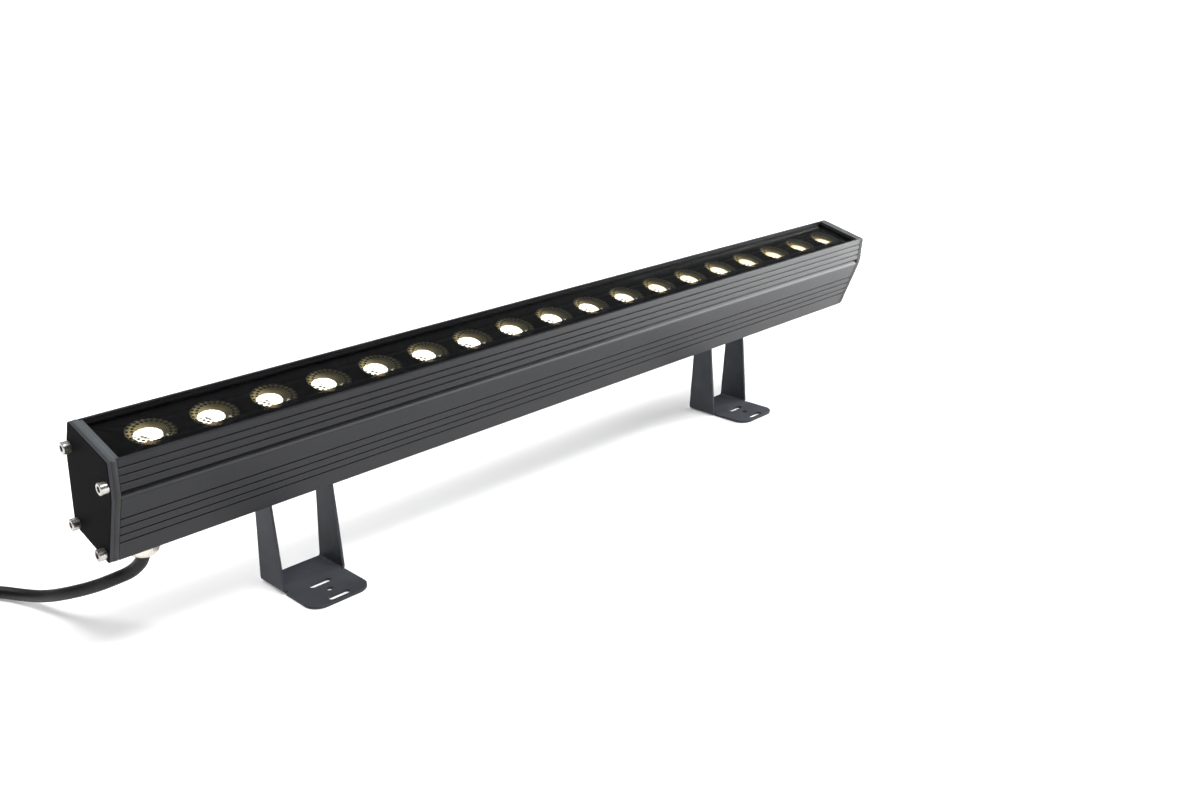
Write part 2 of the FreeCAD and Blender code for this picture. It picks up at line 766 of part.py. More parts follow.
def make_bracket(x):
    """One sheet, bent up twice: base, two legs and a foot towards the front."""
    top = pivot_height + leg_half_top + 1
    back = pivot_y + base_back
    front = pivot_y - leg_half_bottom
    depth = back - front
    outer = box(x - bracket_half_width, x + bracket_half_width, front, back, 0, top)
    inner = box(x - leg_inner, x + leg_inner, front - 1, back + 1, sheet_thick, top + 1)
    low_outer = [e for e in outer.Edges
                 if abs(e.Length - depth) < 0.01 and e.CenterOfMass.z < 0.01]
    low_inner = [e for e in inner.Edges
                 if abs(e.Length - depth - 2) < 0.01 and e.CenterOfMass.z < sheet_thick + 0.01]
    outer = outer.makeFillet(bend_inner_radius + sheet_thick, low_outer)
    inner = inner.makeFillet(bend_inner_radius, low_inner)
    channel = outer.cut(inner)
    legs = bar(leg_outline(), x - bracket_half_width - 1, x + bracket_half_width + 1)
    sheet = channel.common(legs).fuse(make_foot(x)).removeSplitter()
    pivot_hole = disc(screw_radius + running_gap, x - bracket_half_width - 1,
                      x + bracket_half_width + 1, pivot_y, pivot_height)
    cuts = [pivot_hole] + [slot_cut(x, pivot_y + y) for y in slot_centres]
    cuts.append(post(foot_hole_radius, x, pivot_y + foot_hole_centre, -1, sheet_thick + 1))
    return sheet.cut(cuts)


def rounded_path(points):
    """Straight runs joined by tangent arcs, each as large as its runs allow.

    The first run has an arc at one end only, so nearly all of it can go into that bend.
    """
    edges = []
    radii = []
    start = points[0]
    share = 0.9
    for before, corner, after in zip(points[:-2], points[1:-1], points[2:]):
        into = (corner - before).normalize()
        out = (after - corner).normalize()
        half_turn = into.getAngle(out) / 2
        reach = min(share * (corner - before).Length, 0.45 * (after - corner).Length)
        share = 0.45
        radii.append(reach / math.tan(half_turn))
        first = corner - into * reach
        last = corner + out * reach
        inward = (out - into).normalize()
        rise = radii[-1] * (1 / math.cos(half_turn) - 1)
        edges += [line(start, first), arc(first, corner + inward * rise, last)]
        start = last
    edges.append(line(start, points[-1]))
    print("bend radii", ", ".join("%.0f" % radius for radius in radii))
    return edges


def route_points():
    return [Vector(gland_x + x, y, z) for x, y, z in cord_route]


def make_cord_tube():
    mouth = tilted(Part.Vertex(Vector(gland_x, 0, gland_mouth_z()))).Point
    below = tilted(Part.Vertex(Vector(gland_x, 0, gland_mouth_z() - cord_drop))).Point
    return sweep(rounded_path([mouth, below] + route_points()), cord_radius)


def coil_centre():
    end = route_points()[-1]
    outer = coil_turn_radius + cord_radius
    return Vector(end.x - outer - coil_clear, end.y - coil_turn_radius, 0)


def connector_start():
    centre = coil_centre()
    return Vector(centre.x + connector_reach, centre.y - coil_turn_radius + cord_radius, connector_height)


def make_cord_coil():
    """The outer shape of the put-away turns, with its two free stubs."""
    centre = coil_centre()
    outer = coil_turn_radius + cord_radius
    low = 0.1
    top = low + coil_height
    section = face_of([Vector(outer - coil_width, 0, low), Vector(outer, 0, low),
                       Vector(outer, 0, top), Vector(outer - coil_width, 0, top)])
    ring = section.revolve(Vector(0, 0, 0), Vector(0, 0, 1), 360)
    ring = Part.Solid(ring) if ring.ShapeType == "Shell" else ring
    ring = ring.makeFillet(coil_edge, [e for e in ring.Edges if e.Closed])
    ring.translate(centre)
    end = route_points()[-1]
    tail = disc(cord_radius, centre.x, end.x, end.y, end.z)
    stub_end = connector_start()
    stub = disc(cord_radius, centre.x, stub_end.x, stub_end.y, stub_end.z)
    return ring.fuse([tail, stub]).removeSplitter()


def make_connector_shell():
    """Sealing tail and barrel, open at the front for the pins."""
    start = connector_start()
    split = start.x + connector_tail
    end = split + connector_body + connector_ring_length
    tail = Part.makeCone(cord_radius + 3.0, connector_radius, connector_tail, start, Vector(1, 0, 0))
    barrel = disc(connector_radius, split, end, start.y, start.z)
    bore = disc(connector_bore_radius, end - connector_bore_depth, end + 1, start.y, start.z)
    return tail.fuse(barrel).removeSplitter().cut(bore)


def make_connector_ring():
    start = connector_start()
    first = start.x + connector_tail + connector_body
    last = first + connector_ring_length
    ring = disc(connector_ring_radius, first, last, start.y, start.z)
    ring = ring.makeChamfer(1.0, [e for e in ring.Edges if e.Closed])
    return ring.cut(disc(connector_radius + 0.15, first - 1, last + 1, start.y, start.z))


def make_connector_pins():
    start = connector_start()
    floor_x = start.x + connector_tail + connector_body + connector_ring_length
    floor_x -= connector_bore_depth
    pins = []
    for index in range(connector_pins):
        angle = 2 * math.pi * index / connector_pins
        y = start.y + connector_pin_circle * math.cos(angle)
        z = start.z + connector_pin_circle * math.sin(angle)
        pins.append(disc(connector_pin_radius, floor_x, floor_x + 9.0, y, z))
    return Part.makeCompound(pins)


def build_parts():
    parts = {}
    parts["extrusion_housing"] = tilted(make_housing())
    parts["glass_cover"] = tilted(make_glass())
    parts["glass_seal"] = tilted(make_glass_seal())
    parts["lens_baffle"] = tilted(make_baffle())
    for index, x in enumerate(lens_places()):
        parts["lens_%02d" % (index + 1)] = tilted(make_lens(x))
    for index, span in enumerate(board_spans()):
        parts["led_board_%d" % (index + 1)] = tilted(make_board(span))
        parts["led_emitters_%d" % (index + 1)] = tilted(make_emitters(span))
    parts["board_screws"] = tilted(make_board_screws())
    parts["driver_module"] = tilted(make_driver())
    parts["inner_supply_lead"] = tilted(make_inner_lead())
    parts["board_leads"] = tilted(make_board_leads())
    for name, side in (("left", -1), ("right", 1)):
        parts["end_gasket_" + name] = tilted(make_end_gasket(side))
        parts["end_plate_" + name] = tilted(make_end_plate(side))
        parts["end_screws_" + name] = tilted(make_end_screws(side))
    parts["gland_washer"] = tilted(make_gland_washer())
    parts["gland_body"] = tilted(make_gland_body())
    parts["gland_nut"] = tilted(make_gland_nut())
    parts["gland_seal"] = tilted(make_gland_seal())
    for name, x in zip(bracket_names, bracket_x):
        parts["hanger_" + name] = tilted(make_hanger(x))
        parts["hanger_screws_" + name] = tilted(make_hanger_screws(x))
        parts["friction_washers_" + name] = tilted(make_friction_washers(x))
        parts["pivot_washers_" + name] = tilted(make_pivot_washers(x))
        parts["pivot_screws_" + name] = tilted(make_pivot_screws(x))
        parts["bracket_" + name] = make_bracket(x)
    parts["cord_tube"] = make_cord_tube()
    parts["cord_coil"] = make_cord_coil()
    parts["connector_shell"] = make_connector_shell()
    parts["connector_ring"] = make_connector_ring()
    parts["connector_pins"] = make_connector_pins()
    return parts


def main():
    os.makedirs("parts", exist_ok=True)
    parts = build_parts()
    cord_names = ("cord_tube", "cord_coil", "connector_shell", "connector_ring", "connector_pins")
    body = FreeCAD.BoundBox()
    for name, shape in sorted(parts.items()):
        if not shape.isValid():
            print("not valid:", name)
        shape.exportStep("parts/%s.step" % name)
        if name not in cord_names:
            body.add(shape.BoundBox)
        print("%-24s solids %2d  volume %10.0f" % (name, len(shape.Solids), shape.Volume))
    mouth = tilted(Part.Vertex(Vector(gland_x, 0, gland_mouth_z()))).Point
    print("cord leaves the gland at %.2f %.2f %.2f" % (mouth.x, mouth.y, mouth.z))
    print("box without the cord: X %.2f %.2f  Y %.2f %.2f  Z %.2f %.2f"
          % (body.XMin, body.XMax, body.YMin, body.YMax, body.ZMin, body.ZMax))
    print("nodes", len(parts))


main()
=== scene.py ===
# %% [markdown]
# # A long LED batten on two tilting brackets
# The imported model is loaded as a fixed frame: every made part is already in its real
# place, in metres. This lesson dresses it. Most parts only get a finish. The soft or
# finely detailed ones (cord, rubber gaskets, lenses, grip ring) are modelled again, and
# each new piece stands in for its plain made part.

# %% Load the frame
import math

import bmesh
import bpy
from mathutils import Matrix, Vector, noise


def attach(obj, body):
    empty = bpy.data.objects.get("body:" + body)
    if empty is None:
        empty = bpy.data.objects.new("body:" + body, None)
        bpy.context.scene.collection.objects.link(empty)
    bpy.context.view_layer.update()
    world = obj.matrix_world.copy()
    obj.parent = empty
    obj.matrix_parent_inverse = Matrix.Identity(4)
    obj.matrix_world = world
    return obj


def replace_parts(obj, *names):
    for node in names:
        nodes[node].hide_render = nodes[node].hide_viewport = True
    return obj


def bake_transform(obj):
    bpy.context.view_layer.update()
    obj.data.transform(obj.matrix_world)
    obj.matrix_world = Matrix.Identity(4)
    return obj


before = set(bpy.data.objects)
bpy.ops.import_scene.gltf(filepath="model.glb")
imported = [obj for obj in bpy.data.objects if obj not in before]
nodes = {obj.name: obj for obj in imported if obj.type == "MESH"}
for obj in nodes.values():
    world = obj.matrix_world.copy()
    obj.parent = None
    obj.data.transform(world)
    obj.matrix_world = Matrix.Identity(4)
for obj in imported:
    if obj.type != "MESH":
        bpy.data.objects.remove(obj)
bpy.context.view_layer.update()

# %% [markdown]
# The housing was drawn upright and then leaned forward on its pivots. New pieces of the
# housing could be drawn in their leaning place, but every point would need the slope
# worked in. They are easier to draw upright, so one matrix carries them from that
# upright section (its top edge at height zero) to where they belong.

# %% The lean of the housing
MM = 0.001
LEAN = math.radians(15.0)
PIVOT = Vector((0.0, 20.29, 87.5)) * MM
PIVOT_BELOW_RIM = 109.0 * MM
lean_in_place = (
    Matrix.Translation(PIVOT)
    @ Matrix.Rotation(LEAN, 4, "X")
    @ Matrix.Translation((0.0, 0.0, PIVOT_BELOW_RIM))
)
lean_up = lean_in_place.to_3x3() @ Vector((0.0, 0.0, 1.0))
print("rim's middle", [round(v, 4) for v in lean_in_place @ Vector((0, 0, 0))])

# %% [markdown]
# ## Camera
# The camera stands to the left and in front, a little above, and looks down along the
# bar. It could be aimed with a tracking constraint. Here its turn is built from three
# numbers, heading, dip and roll, because each can be read and corrected by itself.

# %% Camera
EYE = Vector((-0.80534, -0.83583, 0.5124))
HEADING, DIP, ROLL = 0.796, 0.351, -0.013
FOCAL_LENGTH, SENSOR_WIDTH = 35.06, 36.0
level_ahead = Vector((math.sin(HEADING), math.cos(HEADING), 0.0))
ahead = level_ahead * math.cos(DIP) - Vector((0.0, 0.0, math.sin(DIP)))
side = Vector((math.cos(HEADING), -math.sin(HEADING), 0.0))
above = side.cross(ahead)
right = math.cos(ROLL) * side + math.sin(ROLL) * above
up = -math.sin(ROLL) * side + math.cos(ROLL) * above
camera_data = bpy.data.cameras.new("camera")
camera_data.lens = FOCAL_LENGTH
camera_data.sensor_width = SENSOR_WIDTH
camera_data.clip_start = 0.01
camera_data.clip_end = 400.0
camera = bpy.data.objects.new("camera", camera_data)
bpy.context.collection.objects.link(camera)
camera_turn = Matrix((right, up, -ahead)).transposed()
camera.matrix_world = Matrix.Translation(EYE) @ camera_turn.to_4x4()
bpy.context.scene.camera = camera
print("camera at", [round(v, 3) for v in EYE], "focal length", FOCAL_LENGTH)

# %% [markdown]
# ## Helpers for finishes
# A finish is a small graph of nodes. It could be wired by hand in the shader editor,
# but the same few steps come back in every one. `part` adds a node and sets its plain
# values, `join` links two sockets, and `set_gloss` sets what is even all over a piece.

# %% Helpers: nodes and links
def new_finish(name):
    material = bpy.data.materials.new(name)
    material.use_nodes = True
    tree = material.node_tree
    shader = tree.nodes["Principled BSDF"]
    return material, tree, shader


def part(tree, kind, **values):
    node = tree.nodes.new("ShaderNode" + kind)
    for key, value in values.items():
        if key in node.bl_rna.properties:
            setattr(node, key, value)
        else:
            node.inputs[key.replace("_", " ")].default_value = value
    return node


def join(tree, out, into):
    tree.links.new(out, into)


def set_gloss(shader, metallic=0.0, roughness=0.5, shine=0.5):
    shader.inputs["Metallic"].default_value = metallic
    shader.inputs["Roughness"].default_value = roughness
    shader.inputs["Specular IOR Level"].default_value = shine
    shader.inputs["IOR"].default_value = 1.5


print("node helpers ready")

# %% [markdown]
# No real surface is one flat colour. `ramp` turns a pattern into colours or gloss, and
# `feed` plugs the result into the shader. The stops could be dragged into place in the
# editor, but as a list of pairs they can be read at a glance.

# %% Helpers: ramps
def ramp(tree, source, stops):
    """A colour ramp from (place, grey or colour) pairs."""
    node = tree.nodes.new("ShaderNodeValToRGB")
    band = node.color_ramp
    while len(band.elements) < len(stops):
        band.elements.new(0.5)
    for element, (place, colour) in zip(band.elements, stops):
        element.position = place
        rgb = (colour,) * 3 if isinstance(colour, float) else colour
        element.color = (*rgb, 1.0)
    join(tree, source, node.inputs["Fac"])
    return node.outputs["Color"]


def feed(tree, shader, socket, source, stops):
    join(tree, ramp(tree, source, stops), shader.inputs[socket])


print("ramp helpers ready")

# %% [markdown]
# `grain` is noise in the piece's own coordinates, which `place_on_piece` can stretch
# and turn back upright, and `relief` turns it into fine bumps. Painted maps could do
# this too, but noise has no seams and stays sharp however close the eye comes.

# %% Helpers: grain and relief
def place_on_piece(tree, scale=(1.0, 1.0, 1.0), lean=0.0):
    """Object coordinates, stretched, and turned back upright for the leaning housing."""
    where = part(tree, "TexCoord")
    turned = part(tree, "Mapping", vector_type="TEXTURE")
    turned.inputs["Rotation"].default_value = (lean, 0.0, 0.0)
    join(tree, where.outputs["Object"], turned.inputs["Vector"])
    stretched = part(tree, "Mapping")
    stretched.inputs["Scale"].default_value = scale
    join(tree, turned.outputs["Vector"], stretched.inputs["Vector"])
    return stretched.outputs["Vector"]


def grain(tree, where, scale, detail=3.0):
    node = part(tree, "TexNoise", Scale=scale, Detail=detail)
    join(tree, where, node.inputs["Vector"])
    return node.outputs["Fac"]


def relief(tree, shader, height, depth, soft_edge=0.0):
    """Bump from a height, on edges that catch light as if slightly rounded."""
    bump = part(tree, "Bump", Distance=depth, Strength=0.6)
    join(tree, height, bump.inputs["Height"])
    if soft_edge:
        edge = part(tree, "Bevel", Radius=soft_edge)
        join(tree, edge.outputs["Normal"], bump.inputs["Normal"])
    join(tree, bump.outputs["Normal"], shader.inputs["Normal"])


print("grain and relief helpers ready")

# %% [markdown]
# ## Cord
# The supply cord leaves the gland along its axis, drops and sweeps back to the floor,
# and the length that is not in use is wound into a neat coil. Its fall could be
# simulated, but the made tube already has a settled route, so the corners of that route
# are used again. All points here are in millimetres.

# %% Cord points: free run
CORD_DIAMETER = 0.011
REST = 5.6
down_to_floor = [
    (-459.0, 23.65, 74.94),
    (-459.0, 25.46, 68.18),
    (-464.6, 37.0, 55.4),
    (-474.2, 48.5, 48.4),
    (-484.1, 71.7, 35.8),
    (-497.0, 100.6, 23.6),
    (-505.5, 130.6, 12.4),
    (-513.5, 159.6, 6.0),
]
along_floor = [
    (-528.0, 186.6, REST),
    (-551.0, 204.6, REST),
    (-579.0, 210.6, REST),
    (-607.0, 210.6, REST),
    (-640.0, 210.6, REST),
]
into_connector = [
    (-668.0, 84.1, 17.0),
    (-655.0, 84.1, 17.0),
    (-643.0, 84.1, 13.6),
    (-632.5, 84.1, 13.1),
]
print("cord rests at", REST, "mm")

# %% [markdown]
# The coil could be drawn by hand, point by point. A rule keeps its turns round and
# evenly laid: the outer turn lies on the floor, the next lies inside it, and the last
# half turn rides in the groove between them and steps over the outer one to the
# connector.

# %% Cord points: coil
COIL_MIDDLE = (-684.5, 144.6)
OUTER_LANE, STEP_INWARD, STEP_BACK = 66.0, 11.2, 5.7
CLIMB, CLIMB_OVER_END = 10.2, 1.2
COIL_DEGREES = range(78, 976, 18)


def eased(value, start, end):
    share = min(1.0, max(0.0, (value - start) / (end - start)))
    return share * share * (3.0 - 2.0 * share)


def coil_point(degrees):
    """Outer lane first, then the inner lane, then on top of both."""
    on_top = eased(degrees, 735.0, 800.0)
    radius = OUTER_LANE - STEP_INWARD * eased(degrees, 385.0, 440.0) + STEP_BACK * on_top
    height = REST + CLIMB * on_top + CLIMB_OVER_END * eased(degrees, 930.0, 990.0)
    angle = math.radians(degrees)
    return (
        COIL_MIDDLE[0] + radius * math.cos(angle),
        COIL_MIDDLE[1] + radius * math.sin(angle),
        height,
    )


coil = [coil_point(degrees) for degrees in COIL_DEGREES]
cord_points = down_to_floor + along_floor + coil + into_connector
print("cord corners", len(cord_points), "of them in the coil", len(coil))

# %% [markdown]
# Straight lines between those corners would look like bent wire. A spline of order
# three rounds every corner evenly and never overshoots it, which a Bezier spline with
# automatic handles would. The spline is only a tool: its points are read and it goes.

# %% Cord line
def smooth_line(corners):
    """The points of a smooth spline over the given corners, in metres."""
    curve = bpy.data.curves.new("cord_route", "CURVE")
    curve.dimensions = "3D"
    curve.resolution_u = 10
    spline = curve.splines.new("NURBS")
    spline.points.add(len(corners) - 1)
    for spline_point, corner in zip(spline.points, corners):
        spline_point.co = (*(Vector(corner) * MM), 1.0)
    spline.order_u = 3
    spline.use_endpoint_u = True
    route = bpy.data.objects.new("cord_route", curve)
    mesh = bpy.data.meshes.new_from_object(route)
    line = [vertex.co.copy() for vertex in mesh.vertices]
    bpy.data.meshes.remove(mesh)
    bpy.data.objects.remove(route)
    return line


cord_line = smooth_line(cord_points)

# %% [markdown]
# The cord crosses the tilting joint. A ring of points is carried along the line, turned
# each time by the same turn that the line makes, so the skin never twists. The rings are
# joined by faces, and a lengthwise UV lets the jacket's marks follow the cord.

# %% Cord skin
CORD_SIDES = 20


def skin_along(bm, line, radius, sides):
    """A closed skin of rings square to a line."""
    heading = (line[1] - line[0]).normalized()
    across = heading.cross(Vector((0.3, 0.2, 1.0))).normalized()
    distance = 0.0
    rings = []
    layer = bm.loops.layers.uv.verify()
    for index, point in enumerate(line):
        point_after = line[min(index + 1, len(line) - 1)]
        point_before = line[max(index - 1, 0)]
        new_heading = (point_after - point_before).normalized()
        across = heading.rotation_difference(new_heading) @ across
        across = (across - across.dot(new_heading) * new_heading).normalized()
        heading = new_heading
        if index:
            distance += (point - line[index - 1]).length
        turn = Matrix((across, heading.cross(across), heading)).transposed().to_4x4()
        made = bmesh.ops.create_circle(bm, cap_ends=False, segments=sides, radius=radius,
                                       matrix=Matrix.Translation(point) @ turn)
        rings.append((made["verts"], distance))
    for (first, start), (second, end) in zip(rings, rings[1:]):
        for index in range(sides):
            after = (index + 1) % sides
            face = bm.faces.new((first[index], first[after], second[after], second[index]))
            face.smooth = True
            places = ((index, start), (index + 1, start), (index + 1, end), (index, end))
            for loop, (around, along) in zip(face.loops, places):
                loop[layer].uv = (around / sides, along)
    bm.faces.new(list(reversed(rings[0][0])))
    bm.faces.new(rings[-1][0])
    bmesh.ops.recalc_face_normals(bm, faces=bm.faces)


cord_skin = bmesh.new()
skin_along(cord_skin, cord_line, CORD_DIAMETER / 2, CORD_SIDES)
print("cord skin", len(cord_skin.faces), "faces")

# %% [markdown]
# The jacket is matt black rubber. Clean rubber is never one flat black: it has a fine
# pebbled skin that greys the highlights, and faint drag marks along its length. The
# drag marks use the lengthwise UV, because object coordinates would cut across bends.

# %% Cord jacket finish
jacket, tree, shader = new_finish("cord_jacket_rubber")
drawn_out = part(tree, "Mapping", Scale=(14.0, 30.0, 1.0))
join(tree, part(tree, "TexCoord").outputs["UV"], drawn_out.inputs["Vector"])
drag = grain(tree, drawn_out.outputs["Vector"], 1.0, 4.0)
pebble = grain(tree, place_on_piece(tree), 2600.0, 2.0)
dark, light = (0.0045, 0.0045, 0.0050), (0.0095, 0.0095, 0.0100)
feed(tree, shader, "Base Color", drag, [(0.3, dark), (0.75, light)])
feed(tree, shader, "Roughness", drag, [(0.3, 0.36), (0.8, 0.52)])
set_gloss(shader, shine=0.22)
relief(tree, shader, pebble, 0.00012)
print("finish", jacket.name)

# %% [markdown]
# Every new piece ends the same way: the working mesh becomes an object with its finish,
# a named slot, and the body that carries it. The cord has no single body, so it is
# attached to none, and the coil stays put beside the left bracket, which stands on the
# floor.

# %% Cord piece
def piece_from(bm, name, materials, body=None):
    mesh = bpy.data.meshes.new(name)
    bm.to_mesh(mesh)
    bm.free()
    piece = bpy.data.objects.new(name, mesh)
    bpy.context.collection.objects.link(piece)
    for material in materials:
        mesh.materials.append(material)
    if body:
        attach(piece, body)
    return piece


cord = piece_from(cord_skin, "supply_cord", [jacket])
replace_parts(cord, "cord_tube", "cord_coil")
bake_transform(cord)
print(cord.name, len(cord.data.vertices), "points")

# %% [markdown]
# ## Floor
# A white studio floor that runs out of sight. In such a studio the floor is lit until
# it burns out, so shadows on it stay pale. Many more lamps could do that, but they
# would also light the bar. So the floor glows by itself: a little near the bar, more
# far away and at the right, and least under the bar's right half, where the shadow has
# to show. A few helpers do sums on sockets. They add to the finish being drawn, `tree`.

# %% Helpers: sums in a finish
def step(kind, operation, values):
    node = part(tree, kind, operation=operation)
    for socket, value in zip(node.inputs, values):
        if isinstance(value, (int, float, tuple)):
            socket.default_value = value
        else:
            join(tree, value, socket)
    return node


def vector_step(operation, *values):
    node = step("VectorMath", operation, values)
    return node.outputs["Value"] if operation == "LENGTH" else node.outputs["Vector"]


def number_step(operation, *values):
    return step("Math", operation, values).outputs[0]


def times(*factors):
    product = factors[0]
    for factor in factors[1:]:
        product = number_step("MULTIPLY", product, factor)
    return product


def slope(source, start, end, low=0.0, high=1.0):
    """Goes smoothly from low to high while the source goes from start to end."""
    node = part(tree, "MapRange", interpolation_type="SMOOTHSTEP", From_Min=start,
                From_Max=end, To_Min=low, To_Max=high)
    join(tree, source, node.inputs["Value"])
    return node.outputs["Result"]


def x_and_y(vector):
    split = part(tree, "SeparateXYZ")
    join(tree, vector, split.inputs[0])
    return split.outputs["X"], split.outputs["Y"]


print("sum helpers ready")

# %% [markdown]
# The floor is one very large square, a hair below height zero so that it never fights
# with the feet. A curved backdrop isn't needed, because the camera looks down and sees
# only floor.

# %% Floor
FLOOR_HALF, FLOOR_DROP = 60.0, 0.0004
floor_finish, tree, shader = new_finish("studio_floor")
mottle = grain(tree, place_on_piece(tree), 3.0)
feed(tree, shader, "Base Color", mottle, [(0.0, 0.80), (1.0, 0.84)])
set_gloss(shader, roughness=0.9, shine=0.0)
shader.inputs["Emission Color"].default_value = (1.0, 1.0, 1.0, 1.0)
spot_on_floor = part(tree, "TexCoord").outputs["Object"]
floor_x, floor_y = x_and_y(spot_on_floor)
in_front = slope(floor_y, 0.0, -0.14, 0.0, 0.12)
far_right = times(slope(floor_x, -0.05, 1.0, 0.0, 5.5), slope(floor_y, -0.06, -0.30))
far_away = slope(vector_step("LENGTH", spot_on_floor), 0.9, 2.6, 0.0, 0.9)
near_bar = slope(floor_x, -0.50, 0.25, 0.33, 0.06)
floor_glow = number_step("ADD", number_step("ADD", in_front, far_right),
                         number_step("ADD", far_away, near_bar))
join(tree, floor_glow, shader.inputs["Emission Strength"])
bm = bmesh.new()
bmesh.ops.create_grid(bm, x_segments=1, y_segments=1, size=FLOOR_HALF,
                      matrix=Matrix.Translation((0.0, 0.0, -FLOOR_DROP)))
floor_mesh = bpy.data.meshes.new("studio_floor")
bm.to_mesh(floor_mesh)
bm.free()
floor = bpy.data.objects.new("studio_floor", floor_mesh)
bpy.context.collection.objects.link(floor)
floor_mesh.materials.append(floor_finish)
print("floor", 2 * FLOOR_HALF, "m wide")

# %% [markdown]
# ## Lights
# Two panels stand past the right end, one low and one high. They shine along the bar
# and make its ribs and shoulder grow brighter to the right. A large weak panel fills
# from the left and behind. A sun with a wide disc stands overhead and a little in
# front, and draws the one soft shadow behind the bar. A lit sky alone would be
# simpler, but it gives no direction and no shadow.

# %% Lights
def soft_panel(name, place, target, width, height, power):
    data = bpy.data.lights.new(name, "AREA")
    data.shape = "RECTANGLE"
    data.size = width
    data.size_y = height
    data.energy = power
    lamp = bpy.data.objects.new(name, data)
    bpy.context.collection.objects.link(lamp)
    lamp.location = place
    aim = Vector(target) - Vector(place)
    lamp.rotation_euler = aim.to_track_quat("-Z", "Y").to_euler()
    return lamp


soft_panel("right_front_panel", (1.45, -0.62, 0.42), (0.45, 0.0, 0.12), 0.9, 0.7, 12.0)
soft_panel("right_top_panel", (1.75, -0.20, 1.00), (0.45, 0.0, 0.15), 0.8, 0.8, 44.0)
soft_panel("left_top_panel", (-0.7, 1.0, 1.7), (0.0, 0.0, 0.1), 1.4, 1.4, 26.0)
overhead = bpy.data.lights.new("overhead", "SUN")
overhead.energy = 2.6
overhead.angle = math.radians(22.0)
overhead_lamp = bpy.data.objects.new("overhead", overhead)
bpy.context.collection.objects.link(overhead_lamp)
overhead_lamp.rotation_euler = Vector((0.12, -0.40, 0.88)).to_track_quat("Z", "Y").to_euler()
print("lights", sorted(light.name for light in bpy.data.lights))

# %% [markdown]
# The sky is nearly off, because a strong one would light every side of the bar alike
# and wash its ribs out. The plain Standard view keeps a white floor white, where a
# filmic one would grey it.

# %% Sky and view
SKY_STRENGTH = 0.07
world = bpy.data.worlds.new("studio")
world.use_nodes = True
sky = world.node_tree.nodes["Background"]
sky.inputs["Color"].default_value = (0.93, 0.96, 1.0, 1.0)
sky.inputs["Strength"].default_value = SKY_STRENGTH
bpy.context.scene.world = world
bpy.context.scene.view_settings.view_transform = "Standard"
bpy.context.scene.view_settings.look = "None"
print("sky strength", SKY_STRENGTH)

# %% [markdown]
# ## Housing finish
# Extruded aluminium, anodised dark grey and satin. The die leaves faint lines along the
# bar, so the noise is drawn out 150 times in X. The grooves and rims are sharp in
# the made part; a real edge is broken by a fraction of a millimetre and draws a thin
# bright line, which the Bevel node gives to the shading without changing the shape.

# %% Housing finish
def anodised_finish(name, shine, smooth, rough):
    material, tree, shader = new_finish(name)
    die_lines = grain(tree, place_on_piece(tree, (6.0, 900.0, 900.0), LEAN), 1.0, 4.0)
    satin = grain(tree, place_on_piece(tree), 2400.0, 2.0)
    clouds = grain(tree, place_on_piece(tree), 16.0, 3.0)
    mixed = part(tree, "Math", operation="MULTIPLY_ADD")
    mixed.inputs[1].default_value = 0.6
    join(tree, die_lines, mixed.inputs[0])
    join(tree, clouds, mixed.inputs[2])
    dark, light = (0.0085, 0.0088, 0.0105), (0.0135, 0.0138, 0.0160)
    feed(tree, shader, "Base Color", mixed.outputs[0], [(0.45, dark), (1.1, light)])
    feed(tree, shader, "Roughness", mixed.outputs[0], [(0.4, smooth), (1.1, rough)])
    set_gloss(shader, shine=shine)
    relief(tree, shader, satin, 0.00005, 0.00030)
    return material


anodised = anodised_finish("anodised_grey", 0.27, 0.36, 0.43)
rubbed = anodised_finish("anodised_grey_rubbed_shoulder", 0.42, 0.27, 0.33)
print("finishes", anodised.name, rubbed.name)

# %% [markdown]
# The shoulder juts out and is what gets rubbed, so it takes the smoother and glossier
# copy of the finish. Painting a mask would do it too. But the shoulder is a clean band
# of the upright section, so its faces are found by their height and by looking up.

# %% Rubbed shoulder
def dress(names, *materials):
    for name in names:
        mesh = nodes[name].data
        mesh.materials.clear()
        for material in materials:
            mesh.materials.append(material)


SHOULDER_BAND, LOOKS_UP = (-34.0, -24.0), 0.25
dress(["extrusion_housing"], anodised, rubbed)
upright_again = lean_in_place.inverted()
shoulder_faces = 0
for polygon in nodes["extrusion_housing"].data.polygons:
    height = (upright_again @ polygon.center).z / MM
    in_band = SHOULDER_BAND[0] < height < SHOULDER_BAND[1]
    on_shoulder = in_band and polygon.normal.dot(lean_up) > LOOKS_UP
    polygon.material_index = 1 if on_shoulder else 0
    shoulder_faces += on_shoulder
print("shoulder faces", shoulder_faces)

# %% [markdown]
# ## End plates and brackets
# The end plates are cut from sheet and anodised black, so their faces swallow light.
# Their milled edges are finely lined, and their greyer colour is a painted reflection of
# the light they face. They could be separate pieces, but one mesh with two finishes,
# chosen by which way each face looks, keeps the made part whole.

# %% End plate finishes
plate_black, tree, shader = new_finish("plate_black_anodised")
fine = grain(tree, place_on_piece(tree), 1900.0, 2.0)
cloudy = grain(tree, place_on_piece(tree), 30.0, 4.0)
dark, light = (0.0080, 0.0080, 0.0085), (0.0105, 0.0105, 0.0110)
feed(tree, shader, "Base Color", cloudy, [(0.3, dark), (0.7, light)])
feed(tree, shader, "Roughness", cloudy, [(0.3, 0.46), (0.7, 0.54)])
set_gloss(shader, shine=0.004)
relief(tree, shader, fine, 0.00004, 0.0003)
